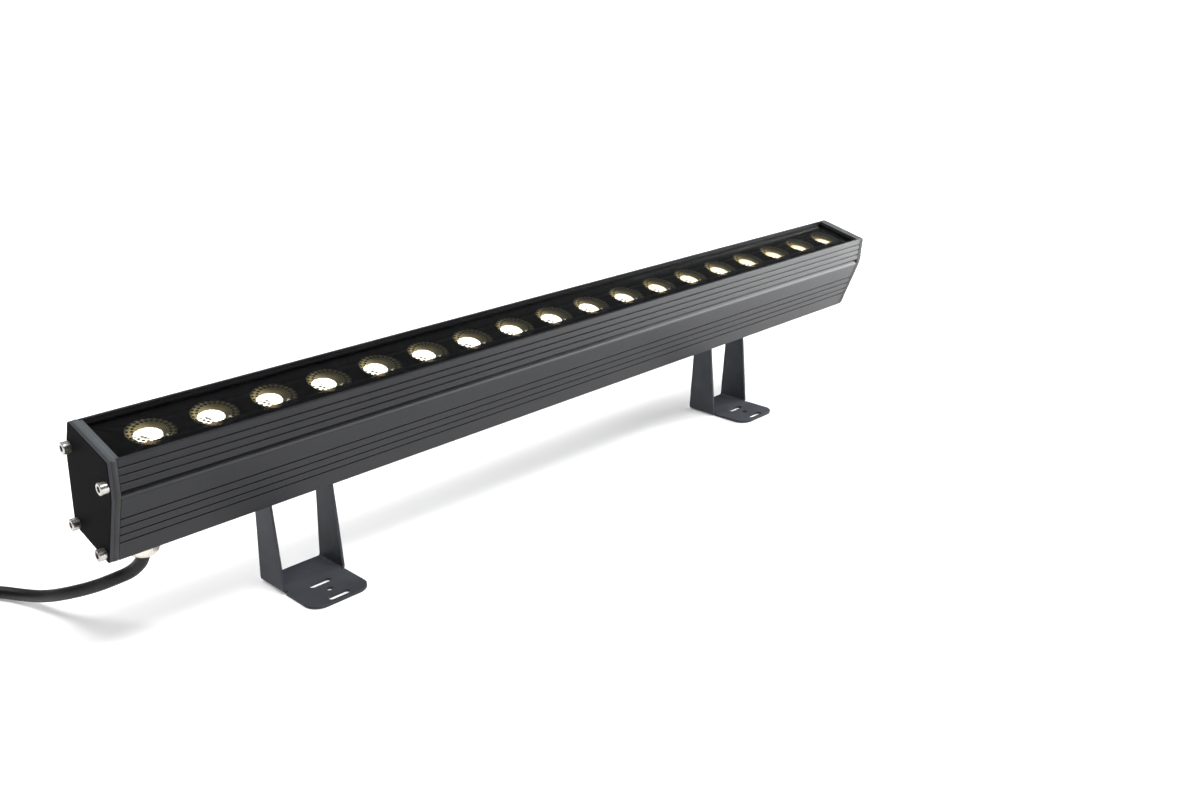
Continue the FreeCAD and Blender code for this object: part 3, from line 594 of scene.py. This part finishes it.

# The edge copy's greyer, bluer colour is a painted reflection; its fine milled lines are real
# bumps.
plate_edge_painted_reflection, tree, shader = new_finish("plate_milled_edge_painted_reflection")
milled = grain(tree, place_on_piece(tree, (260.0, 3000.0, 3000.0), LEAN), 1.0, 3.0)
dark, light = (0.028, 0.030, 0.035), (0.038, 0.041, 0.047)
feed(tree, shader, "Base Color", milled, [(0.3, dark), (0.7, light)])
feed(tree, shader, "Roughness", milled, [(0.3, 0.38), (0.7, 0.50)])
set_gloss(shader, shine=0.15)
relief(tree, shader, milled, 0.00004, 0.0009)
plates = ["end_plate_left", "end_plate_right"]
dress(plates, plate_black, plate_edge_painted_reflection)
for name in plates:
    for polygon in nodes[name].data.polygons:
        polygon.material_index = 1 if abs(polygon.normal.x) < 0.5 else 0
print("finishes", plate_black.name, plate_edge_painted_reflection.name)

# %% [markdown]
# The brackets are bent steel, powder coated: a slightly rough skin with the fine
# orange peel that sprayed powder leaves when it melts. The hangers between their legs
# are cut from the same anodised stock as the housing.

# %% Bracket finish
powder, tree, shader = new_finish("bracket_powder_coat")
peel = grain(tree, place_on_piece(tree), 950.0, 2.0)
patches = grain(tree, place_on_piece(tree), 40.0, 4.0)
dark, light = (0.037, 0.039, 0.047), (0.048, 0.051, 0.060)
feed(tree, shader, "Base Color", patches, [(0.3, dark), (0.7, light)])
feed(tree, shader, "Roughness", peel, [(0.3, 0.48), (0.7, 0.60)])
set_gloss(shader, shine=0.18)
relief(tree, shader, peel, 0.00012, 0.0004)
dress(["bracket_left", "bracket_right"], powder)
dress(["hanger_left", "hanger_right"], anodised)
print("finish", powder.name)

# %% [markdown]
# ## Metal fittings
# Stainless screws are turned and lightly brushed, so their gloss varies in fine marks
# across the axis. The gland is nickel plated brass: warmer, brighter and smoother. One
# function makes every metal, because they differ only in colour, gloss and marks.

# %% Metal finishes
def metal(name, dark, light, smooth, rough, stretch):
    material, tree, shader = new_finish(name)
    marks = grain(tree, place_on_piece(tree, stretch), 1.0, 3.0)
    feed(tree, shader, "Base Color", marks, [(0.3, dark), (0.7, light)])
    feed(tree, shader, "Roughness", marks, [(0.3, smooth), (0.7, rough)])
    set_gloss(shader, metallic=1.0)
    relief(tree, shader, marks, 0.00003, 0.00025)
    return material


stainless = metal("stainless_screw", (0.40, 0.385, 0.36), (0.54, 0.52, 0.49), 0.24, 0.36,
                  (2600.0, 500.0, 500.0))
nickel = metal("nickel_plated_gland", (0.60, 0.565, 0.50), (0.70, 0.665, 0.60), 0.20, 0.30,
               (300.0, 300.0, 900.0))
contact_metal = metal("plated_contact", (0.70, 0.52, 0.22), (0.85, 0.68, 0.34), 0.16, 0.28,
                      (900.0, 300.0, 300.0))
screws_and_washers = [name for name in nodes if "screws" in name or "pivot_washers" in name]
dress(screws_and_washers, stainless)
dress(["gland_body", "gland_nut"], nickel)
dress(["connector_pins"], contact_metal)
print("stainless groups", len(screws_and_washers))

# %% [markdown]
# ## Rubber and plastic
# The end gaskets are grey rubber, and their tops take a lighter copy of the grey: painted
# light from above. The glass seal is dark silicone, the bush black rubber, the connector
# nylon. What sits behind the glass is dressed too: it is hardly seen, but it is there when
# the part is taken apart. Each is one finish with its own colours, roughness and pebble
# size, so a small function makes them.

# %% Rubber and plastic finishes
def moulded(name, dark, light, rough, pebble_scale, depth, shine=0.5):
    material, tree, shader = new_finish(name)
    skin = grain(tree, place_on_piece(tree), pebble_scale, 3.0)
    stain = grain(tree, place_on_piece(tree), 45.0, 4.0)
    feed(tree, shader, "Base Color", stain, [(0.3, dark), (0.7, light)])
    feed(tree, shader, "Roughness", skin, [(0.3, rough - 0.06), (0.7, rough + 0.08)])
    set_gloss(shader, shine=shine)
    relief(tree, shader, skin, depth, 0.0003)
    return material


# The gaskets' top copy is lighter and bluer than the rubber: painted light from above.
gasket_painted_lit_top = moulded("gasket_grey_rubber_painted_lit_top", (0.054, 0.060, 0.063), (0.074, 0.081, 0.085),
                     0.62, 1300.0, 0.00010, 0.2)
gasket_rubber = moulded("gasket_grey_rubber", (0.030, 0.030, 0.031), (0.042, 0.042, 0.043),
                        0.62, 1300.0, 0.00010, 0.2)
seal_rubber = moulded("seal_dark_silicone", (0.007, 0.0072, 0.008), (0.011, 0.0115, 0.0125),
                      0.55, 1500.0, 0.00004, 0.06)
bush_rubber = moulded("bush_black_rubber", (0.012, 0.012, 0.013), (0.020, 0.020, 0.021),
                      0.5, 1600.0, 0.00008)
nylon_black = moulded("connector_black_nylon", (0.014, 0.014, 0.016), (0.022, 0.022, 0.024),
                      0.42, 1100.0, 0.00008)
case_black = moulded("driver_case_black", (0.030, 0.030, 0.032), (0.045, 0.045, 0.048),
                     0.5, 900.0, 0.00008)
board_white = moulded("board_white_mask", (0.72, 0.72, 0.70), (0.80, 0.80, 0.78),
                      0.35, 700.0, 0.00002)
phosphor = moulded("emitter_yellow_phosphor", (0.85, 0.62, 0.16), (0.95, 0.74, 0.25),
                   0.3, 1800.0, 0.00002)
baffle_black = moulded("baffle_black", (0.0035, 0.0035, 0.0040), (0.0055, 0.0055, 0.0060),
                       0.6, 1500.0, 0.00003, 0.06)
dress(["glass_seal", "gland_washer"], seal_rubber)
dress(["gland_seal", "inner_supply_lead", "board_leads"], bush_rubber)
dress(["connector_shell", "friction_washers_left", "friction_washers_right"], nylon_black)
dress(["driver_module"], case_black)
dress([name for name in nodes if name.startswith("led_board")], board_white)
dress([name for name in nodes if name.startswith("led_emitters")], phosphor)
dress(["lens_baffle"], baffle_black)
print("finishes so far", len(bpy.data.materials))

# %% [markdown]
# ## Glass cover
# Clear tempered glass. It must really bend light, because that is what lifts the lenses
# towards the eye, so a cheaper see-through mix won't do. Its roughness varies only
# slightly, like a wiped pane, and its rim takes the dark silicone that is glued to it.

# %% Glass finish
glass, tree, shader = new_finish("cover_glass")
wiped = grain(tree, place_on_piece(tree, (8.0, 40.0, 40.0), LEAN), 1.0, 3.0)
dark, light = (0.955, 0.968, 0.965), (0.975, 0.985, 0.982)
feed(tree, shader, "Base Color", wiped, [(0.3, dark), (0.7, light)])
feed(tree, shader, "Roughness", wiped, [(0.35, 0.0), (0.8, 0.012)])
shader.inputs["Transmission Weight"].default_value = 1.0
shader.inputs["IOR"].default_value = 1.5
dress(["glass_cover"], glass, seal_rubber)
for polygon in nodes["glass_cover"].data.polygons:
    polygon.material_index = 0 if abs(polygon.normal.dot(lean_up)) > 0.9 else 1
print("finish", glass.name)

# %% [markdown]
# ## End gaskets
# A squeezed rubber gasket swells past the metal on both sides of it and never evenly.
# A plain bevelled slab would look like another metal plate. So the outline is extruded
# through the gasket's thickness, its corners are rounded, it is cut into short lengths,
# and then each point of the rim is pushed by smooth noise. Sizes are in millimetres.

# %% Gasket sizes and helpers
RIM_HALF, WAIST_HALF, WAIST = 31.8, 36.2, -25.6
SHOULDER_HALF, SHOULDER, FOOT_HALF, UNDERSIDE = 36.6, -32.4, 28.4, -95.5
SECTION_END, PLATE_INNER, TROUGH_END = 492.0, 497.0, 489.5
OUTLINE_GROWTH, CORNER_ROUNDING = 0.15, 1.6
BULGE, SETBACK, UNEVEN, WANDER = 0.85, 0.50, 0.16, 0.18
TONGUE_WIDE, TONGUE_TALL = 58.2, 9.6


def gasket_outline(swell):
    half = [(RIM_HALF + swell, swell), (WAIST_HALF + swell, WAIST),
            (SHOULDER_HALF + swell, SHOULDER), (FOOT_HALF + swell, UNDERSIDE - swell)]
    return half + [(-y, z) for y, z in reversed(half)]


def cut_across(bm, place, direction):
    bmesh.ops.bisect_plane(bm, geom=bm.verts[:] + bm.edges[:] + bm.faces[:],
                           plane_co=place, plane_no=direction)


def swell_rim(bm, side, middle):
    for vertex in bm.verts:
        y, z = vertex.co.y, vertex.co.z
        outward = Vector((0.0, y, (z + 45.0) * 0.7)).normalized()
        from_middle = abs(vertex.co.x - middle) / 2.5
        wave = noise.noise(Vector((side * 3.0, y, z)) * 0.11)
        swell = BULGE * (1.0 - from_middle ** 4) - SETBACK + UNEVEN * wave
        vertex.co += outward * swell
        drift = noise.noise(Vector((7.0 + side, y, z)) * 0.09)
        vertex.co.x += WANDER * drift * (1.0 - from_middle)


print("gasket thickness", PLATE_INNER - SECTION_END, "mm")

# %% [markdown]
# The slab is made first and swollen, then a plain tongue is added that plugs the open
# end of the trough. The tongue isn't swollen, because the trough's walls hold it. Faces
# that look up along the lean take the lighter copy, which is painted light from above.

# %% End gaskets
def swollen_gasket(side, name):
    bm = bmesh.new()
    start = side * SECTION_END
    corners = [bm.verts.new((start, y, z)) for y, z in gasket_outline(OUTLINE_GROWTH)]
    face = bm.faces.new(corners)
    grown = bmesh.ops.extrude_face_region(bm, geom=[face])["geom"]
    tips = [g for g in grown if isinstance(g, bmesh.types.BMVert)]
    bmesh.ops.translate(bm, verts=tips, vec=(side * (PLATE_INNER - SECTION_END), 0.0, 0.0))
    spans = [e for e in bm.edges if abs(e.verts[0].co.x - e.verts[1].co.x) > 1.0]
    bmesh.ops.bevel(bm, geom=spans, offset=CORNER_ROUNDING, offset_type="OFFSET",
                    affect="EDGES", segments=3, profile=0.5, material=-1)
    middle = side * (SECTION_END + PLATE_INNER) / 2
    for share in (-0.6, 0.0, 0.6):
        cut_across(bm, (middle + share * 2.4, 0, 0), (1, 0, 0))
    for height in range(-92, 2, 4):
        cut_across(bm, (0, 0, height), (0, 0, 1))
    for across in range(-32, 36, 4):
        cut_across(bm, (0, across, 0), (0, 1, 0))
    bmesh.ops.recalc_face_normals(bm, faces=bm.faces)
    swell_rim(bm, side, middle)
    tongue_middle = side * (TROUGH_END + SECTION_END) / 2
    tongue = bmesh.ops.create_cube(bm, size=1.0)["verts"]
    tongue_long = abs(SECTION_END - TROUGH_END) + 1.0
    bmesh.ops.scale(bm, vec=(tongue_long, TONGUE_WIDE, TONGUE_TALL), verts=tongue)
    bmesh.ops.translate(bm, vec=(tongue_middle + side * 0.5, 0.0, -5.0), verts=tongue)
    bmesh.ops.transform(bm, matrix=lean_in_place @ Matrix.Scale(MM, 4), verts=bm.verts)
    for face in bm.faces:
        face.smooth = True
    piece = piece_from(bm, name, [gasket_rubber, gasket_painted_lit_top], "housing")
    for polygon in piece.data.polygons:
        # Up-facing faces take the lighter copy: painted light from above.
        polygon.material_index = 1 if polygon.normal.dot(lean_up) > 0.7 else 0
    piece.data.set_sharp_from_angle(angle=math.radians(35.0))
    return piece


for side_name, side_sign in (("left", -1.0), ("right", 1.0)):
    gasket = swollen_gasket(side_sign, "swollen_gasket_" + side_name)
    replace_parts(gasket, "end_gasket_" + side_name)
    print(gasket.name, len(gasket.data.vertices), "points")

# %% [markdown]
# ## Lenses
# Each lens is a moulded acrylic cup with a honeycomb face that mixes its light. Lit, it
# shows a burnt-out spot, a gold haze above it, and rings of small dark dimples near the
# rim. Tracing light through real honeycomb would need a very long render, so the lit
# face is drawn in its finish. It uses two UV maps of a 40 mm square: "face" has its
# origin in the lens's middle, and "lamp" in the middle of the burnt-out spot, which
# sits deeper and so slides along the row of lenses. First come the dimples: three rings
# round a hub, folded into one sector so that a single distance draws them all.

# %% Lens face finish: dimples
FACE_SQUARE = 40.0
HUB = (0.8, 0.7, 0.0)
DOTS_ROUND, OUTER_RING, INNER_RING = 23, 17.9, 14.1
LAST_ROW = -10.8
lens_glow, tree, shader = new_finish("lens_honeycomb_lit")


def in_mm(map_name):
    flat_map = part(tree, "UVMap", uv_map=map_name).outputs["UV"]
    return vector_step("MULTIPLY_ADD", flat_map, (FACE_SQUARE, FACE_SQUARE, 0.0),
                       (-FACE_SQUARE / 2, -FACE_SQUARE / 2, 0.0))


def distance_to(ring):
    return number_step("ABSOLUTE", number_step("SUBTRACT", radius, ring))


face_mm = in_mm("face")
face_x, face_y = x_and_y(face_mm)
from_hub = vector_step("SUBTRACT", face_mm, HUB)
hub_x, hub_y = x_and_y(from_hub)
radius = vector_step("LENGTH", from_hub)
half_step = math.pi / DOTS_ROUND
folded = number_step("WRAP", number_step("ARCTAN2", hub_y, hub_x), half_step, -half_step)
to_ring = number_step("MINIMUM", distance_to(OUTER_RING), distance_to(INNER_RING))
to_ring = number_step("MINIMUM", to_ring, distance_to(2 * INNER_RING - OUTER_RING))
sideways = number_step("MULTIPLY", folded, radius)
away = number_step("SQRT", number_step("ADD", times(to_ring, to_ring),
                                       times(sideways, sideways)))
in_ring = slope(radius, INNER_RING - 2.2, INNER_RING - 1.9)
dimple = times(slope(away, 1.45, 1.10), in_ring)
wall = times(slope(away, 1.5, 2.2), in_ring)
print("dimples in a ring", DOTS_ROUND)

# %% [markdown]
# The honeycomb's own outline isn't a circle: it ends in scallops round the outer ring,
# and in a row of teeth at the bottom, where the moulding is cut off. Everything that
# glows on the face is held inside this outline.

# %% Lens face finish: outline
scallops = number_step("MAXIMUM", slope(away, 2.25, 2.10),
                       slope(radius, OUTER_RING + 0.2, OUTER_RING))
teeth = number_step("PINGPONG", face_x, 1.6)
above_row = slope(number_step("MULTIPLY_ADD", teeth, 0.7, face_y), LAST_ROW, LAST_ROW + 0.4)
in_net = times(scallops, above_row)
print("last row of cells at", LAST_ROW, "mm")

# %% [markdown]
# The light on the face comes in layers, from the sharpest to the faintest: the spot
# with dimples biting into its lower left, the haze above it with brighter walls between
# the dimples, small sparks, a glint at the bottom edge, and a warm glow just outside.
# Each is a number from 0 to 1 over the face, so the layers can be tuned one by one.

# %% Lens face finish: spot and haze
SPOT_WIDTH, SPOT_HEIGHT = 11.9, 10.3


def without(value):
    return number_step("SUBTRACT", 1.0, value)


lamp_mm = in_mm("lamp")
lamp_x, lamp_y = x_and_y(lamp_mm)
ragged = grain(tree, vector_step("MULTIPLY", face_mm, (0.5, 0.5, 0.0)), 1.0, 3.0)
in_ellipse = vector_step("MULTIPLY", lamp_mm, (1 / SPOT_WIDTH, 1 / SPOT_HEIGHT, 0.0))
reach = number_step("MULTIPLY_ADD", ragged, 0.26, vector_step("LENGTH", in_ellipse))
bites = times(slope(away, 1.80, 1.25), slope(lamp_x, 0.5, -2.5), slope(lamp_y, 4.5, 0.5), 0.97)
spot = times(slope(reach, 1.16, 1.08), without(bites))
speckle = grain(tree, vector_step("MULTIPLY", face_mm, (1.7, 1.7, 0.0)), 1.0, 3.0)
near_lamp = times(slope(reach, 2.15, 1.08), slope(lamp_y, -2.0, 7.0))
to_the_left = number_step("MULTIPLY_ADD", slope(lamp_x, 12.0, -2.0), 0.8, 0.2)
haze = number_step("MULTIPLY_ADD", slope(reach, 2.5, 1.15), 0.016, 0.006)
haze = number_step("MULTIPLY_ADD", times(near_lamp, to_the_left), 0.105, haze)
haze = times(haze, number_step("MULTIPLY_ADD", speckle, 0.9, 0.55))
haze = number_step("MULTIPLY_ADD", times(wall, to_the_left), 0.048, haze)
haze = times(haze, without(times(dimple, 0.98)))
spark = times(slope(speckle, 0.66, 0.74), slope(reach, 1.7, 1.2), 0.16)
bottom_edge = times(slope(face_y, LAST_ROW + 3.2, LAST_ROW + 1.6), slope(lamp_x, 12.0, 13.2),
                    slope(lamp_x, 16.8, 15.0), slope(away, 1.0, 1.6), 0.15)
glow = times(slope(reach, 1.62, 1.02), slope(face_y, LAST_ROW + 2.5, LAST_ROW),
             without(in_net), slope(lamp_x, 5.0, -5.0), 0.11)
print("spot", 2 * SPOT_WIDTH, "by", 2 * SPOT_HEIGHT, "mm")

# %% [markdown]
# The haze is gold, deeper near the lamp. The spot is warm white and burns out. On the
# far lenses the eye looks in from the side and no longer meets the lamp itself, so the
# spot's rim turns a dull yellow there, by how far along the bar the lens is.

# %% Lens face finish: colours
GOLD, DEEP_GOLD, AMBER = (1.0, 0.87, 0.46, 1.0), (1.0, 0.78, 0.35, 1.0), (1.0, 0.70, 0.34)
SPARK_WHITE, WARM_WHITE = (1.0, 0.96, 0.86), (1.0, 0.93, 0.78, 1.0)
DULL_YELLOW = (0.46, 0.38, 0.18, 1.0)
LAMP_STRENGTH = 3.2


def mix(share, first, second):
    node = part(tree, "Mix", data_type="RGBA", blend_type="MIX")
    join(tree, share, node.inputs["Factor"])
    for socket, value in (("A", first), ("B", second)):
        if isinstance(value, tuple):
            node.inputs[socket].default_value = value
        else:
            join(tree, value, node.inputs[socket])
    return node.outputs["Result"]


def scaled_colour(colour, amount):
    node = part(tree, "VectorMath", operation="SCALE")
    if isinstance(colour, tuple):
        node.inputs[0].default_value = colour
    else:
        join(tree, colour, node.inputs[0])
    join(tree, amount, node.inputs["Scale"])
    return node.outputs[0]


lit_net = vector_step("ADD", scaled_colour(mix(near_lamp, GOLD, DEEP_GOLD), haze),
                      scaled_colour(SPARK_WHITE, number_step("ADD", spark, bottom_edge)))
along_bar = x_and_y(part(tree, "TexCoord").outputs["Object"])[0]
far_off = times(slope(along_bar, -0.20, 0.40), without(times(slope(reach, 1.0, 0.5), 0.7)))
all_light = mix(spot, lit_net, mix(far_off, WARM_WHITE, DULL_YELLOW))
framed = vector_step("ADD", scaled_colour(all_light, in_net), scaled_colour(AMBER, glow))
join(tree, framed, shader.inputs["Emission Color"])
shader.inputs["Emission Strength"].default_value = LAMP_STRENGTH
feed(tree, shader, "Base Color", times(away, 0.2), [(0.25, 0.002), (0.5, 0.005)])
set_gloss(shader, roughness=0.5, shine=0.04)
relief(tree, shader, away, 0.0002)
print("finish", lens_glow.name, "nodes", len(tree.nodes))

# %% [markdown]
# The sides of the cup are clear acrylic with the faint flow marks of moulding. They are
# only half see-through here: the cup is hardly seen past its lit face, and fully clear
# sides would cost time and show nothing more.

# %% Lens side finish
acrylic, tree, shader = new_finish("lens_acrylic")
flow = grain(tree, place_on_piece(tree), 220.0, 2.0)
dark, light = (0.62, 0.58, 0.46), (0.70, 0.66, 0.54)
feed(tree, shader, "Base Color", flow, [(0.3, dark), (0.7, light)])
set_gloss(shader, roughness=0.12)
shader.inputs["Transmission Weight"].default_value = 0.5
relief(tree, shader, flow, 0.00003)
print("finish", acrylic.name)

# %% [markdown]
# All lenses could share one mesh, but then they couldn't have their own lamp maps, and
# the spot would show in the same place on each. Where it shows, and how wide and high
# it looks there, was settled for six of them, and the others lie between.

# %% Lens sizes and lamp places
LENS_COUNT, LENS_PITCH, ROW_SHIFT, LENS_TOP, LENS_RADIUS = 18, 53.5, 4.5, -9.3, 20.2
LENS_PROFILE = [(LENS_RADIUS, LENS_TOP), (LENS_RADIUS, -11.6), (19.0, -11.6), (15.1, -20.4),
                (7.5, -26.5), (4.5, -26.5), (4.5, -21.5)]
SPIN_STEPS = 48
# lens, then the spot's x, y, width and height
LAMP_SPOTS = ((1, -3.7, -3.0, 0.93, 0.96), (4, -7.3, -3.0, 0.90, 0.96),
              (8, -8.0, -3.6, 0.92, 1.04), (12, -7.9, -4.8, 0.82, 1.10),
              (15, -8.0, -6.3, 0.84, 1.22), (18, -13.2, -7.8, 0.92, 1.15))


def lamp_place(number):
    for (first, *low), (last, *high) in zip(LAMP_SPOTS, LAMP_SPOTS[1:]):
        if number <= last:
            share = (number - first) / (last - first)
            return [a + share * (b - a) for a, b in zip(low, high)]


def map_place(x, y):
    return (x / FACE_SQUARE + 0.5, y / FACE_SQUARE + 0.5)


print("lens 10 has its spot at", [round(value, 2) for value in lamp_place(10)])

# %% [markdown]
# The cup is round, so its profile is spun about its axis and its two open ends are
# filled. A cylinder pulled into shape row by row would do as well, but a profile keeps
# the sizes in one readable list. The body is drawn upright at the origin, mapped there,
# and only then carried to its place in the leaning row.

# %% Lens bodies
def lens_body(number, x):
    bm = bmesh.new()
    line = [bm.verts.new((radius, 0.0, height)) for radius, height in LENS_PROFILE]
    edges = [bm.edges.new(pair) for pair in zip(line, line[1:])]
    bmesh.ops.spin(bm, geom=line + edges, cent=(0, 0, 0), axis=(0, 0, 1), steps=SPIN_STEPS,
                   angle=math.tau, use_merge=True)
    rims = [[e for e in bm.edges if e.is_boundary and abs(e.verts[0].co.z - z) < 0.01]
            for z in (LENS_TOP, LENS_PROFILE[-1][1])]
    for rim in rims:
        bmesh.ops.edgeloop_fill(bm, edges=rim)
    bmesh.ops.remove_doubles(bm, verts=bm.verts, dist=0.0001)
    bmesh.ops.recalc_face_normals(bm, faces=bm.faces)
    face_map = bm.loops.layers.uv.new("face")
    lamp_map = bm.loops.layers.uv.new("lamp")
    spot_x, spot_y, width, height = lamp_place(number)
    for face in bm.faces:
        face.smooth = len(face.verts) == 4
        top = face.normal.z > 0.9 and face.calc_center_median().z > LENS_TOP - 0.1
        face.material_index = 1 if top else 0
        for loop in face.loops:
            x_mm, y_mm = loop.vert.co.xy
            loop[face_map].uv = map_place(x_mm, y_mm)
            loop[lamp_map].uv = map_place((x_mm - spot_x) / width, (y_mm - spot_y) / height)
    bmesh.ops.translate(bm, vec=(x, 0.0, 0.0), verts=bm.verts)
    bmesh.ops.transform(bm, matrix=lean_in_place @ Matrix.Scale(MM, 4), verts=bm.verts)
    name = "honeycomb_lens_%02d" % number
    return piece_from(bm, name, [acrylic, lens_glow], "housing")


for number in range(1, LENS_COUNT + 1):
    lens_x = ROW_SHIFT + (number - 1 - (LENS_COUNT - 1) / 2) * LENS_PITCH
    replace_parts(lens_body(number, lens_x), "lens_%02d" % number)
print("lenses", LENS_COUNT, "pitch", LENS_PITCH, "mm")

# %% [markdown]
# ## Connector ring
# The coupling ring is gripped by hand, so it has flutes all round. They could be cut
# out one by one. It is quicker and cleaner to spin the ring's profile in forty steps
# and push every other outer face in.

# %% Connector ring
RING_START, RING_LENGTH, RING_RADIUS, RING_BORE = -594.5, 18.0, 13.0, 11.2
RING_CHAMFER, RING_STEPS = 1.0, 40
RING_Y, RING_Z = 84.1, 13.1
FLUTE_MARGIN, FLUTE_DEPTH = 0.35, 0.7
bm = bmesh.new()
ring_profile = [(0.0, RING_BORE), (0.0, RING_RADIUS - RING_CHAMFER),
                (RING_CHAMFER, RING_RADIUS), (RING_LENGTH - RING_CHAMFER, RING_RADIUS),
                (RING_LENGTH, RING_RADIUS - RING_CHAMFER), (RING_LENGTH, RING_BORE)]
line = [bm.verts.new((x, from_axis, 0.0)) for x, from_axis in ring_profile]
edges = [bm.edges.new(pair) for pair in zip(line, line[1:] + line[:1])]
bmesh.ops.spin(bm, geom=line + edges, cent=(0, 0, 0), axis=(1, 0, 0), steps=RING_STEPS,
               angle=math.tau, use_merge=True)
bmesh.ops.remove_doubles(bm, verts=bm.verts, dist=0.0001)
bmesh.ops.recalc_face_normals(bm, faces=bm.faces)
grip = [f for f in bm.faces if f.calc_center_median().yz.length > RING_RADIUS - 0.2
        and abs(f.normal.x) < 0.1]
grip.sort(key=lambda f: math.atan2(f.calc_center_median().z, f.calc_center_median().y))
bmesh.ops.inset_individual(bm, faces=grip[::2], thickness=FLUTE_MARGIN, depth=-FLUTE_DEPTH)
bmesh.ops.translate(bm, vec=(RING_START, RING_Y, RING_Z), verts=bm.verts)
bmesh.ops.scale(bm, vec=(MM, MM, MM), verts=bm.verts)
ring = piece_from(bm, "connector_grip_ring", [nylon_black],
                  "left_bracket")
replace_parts(ring, "connector_ring")
print(ring.name, len(grip[::2]), "flutes")
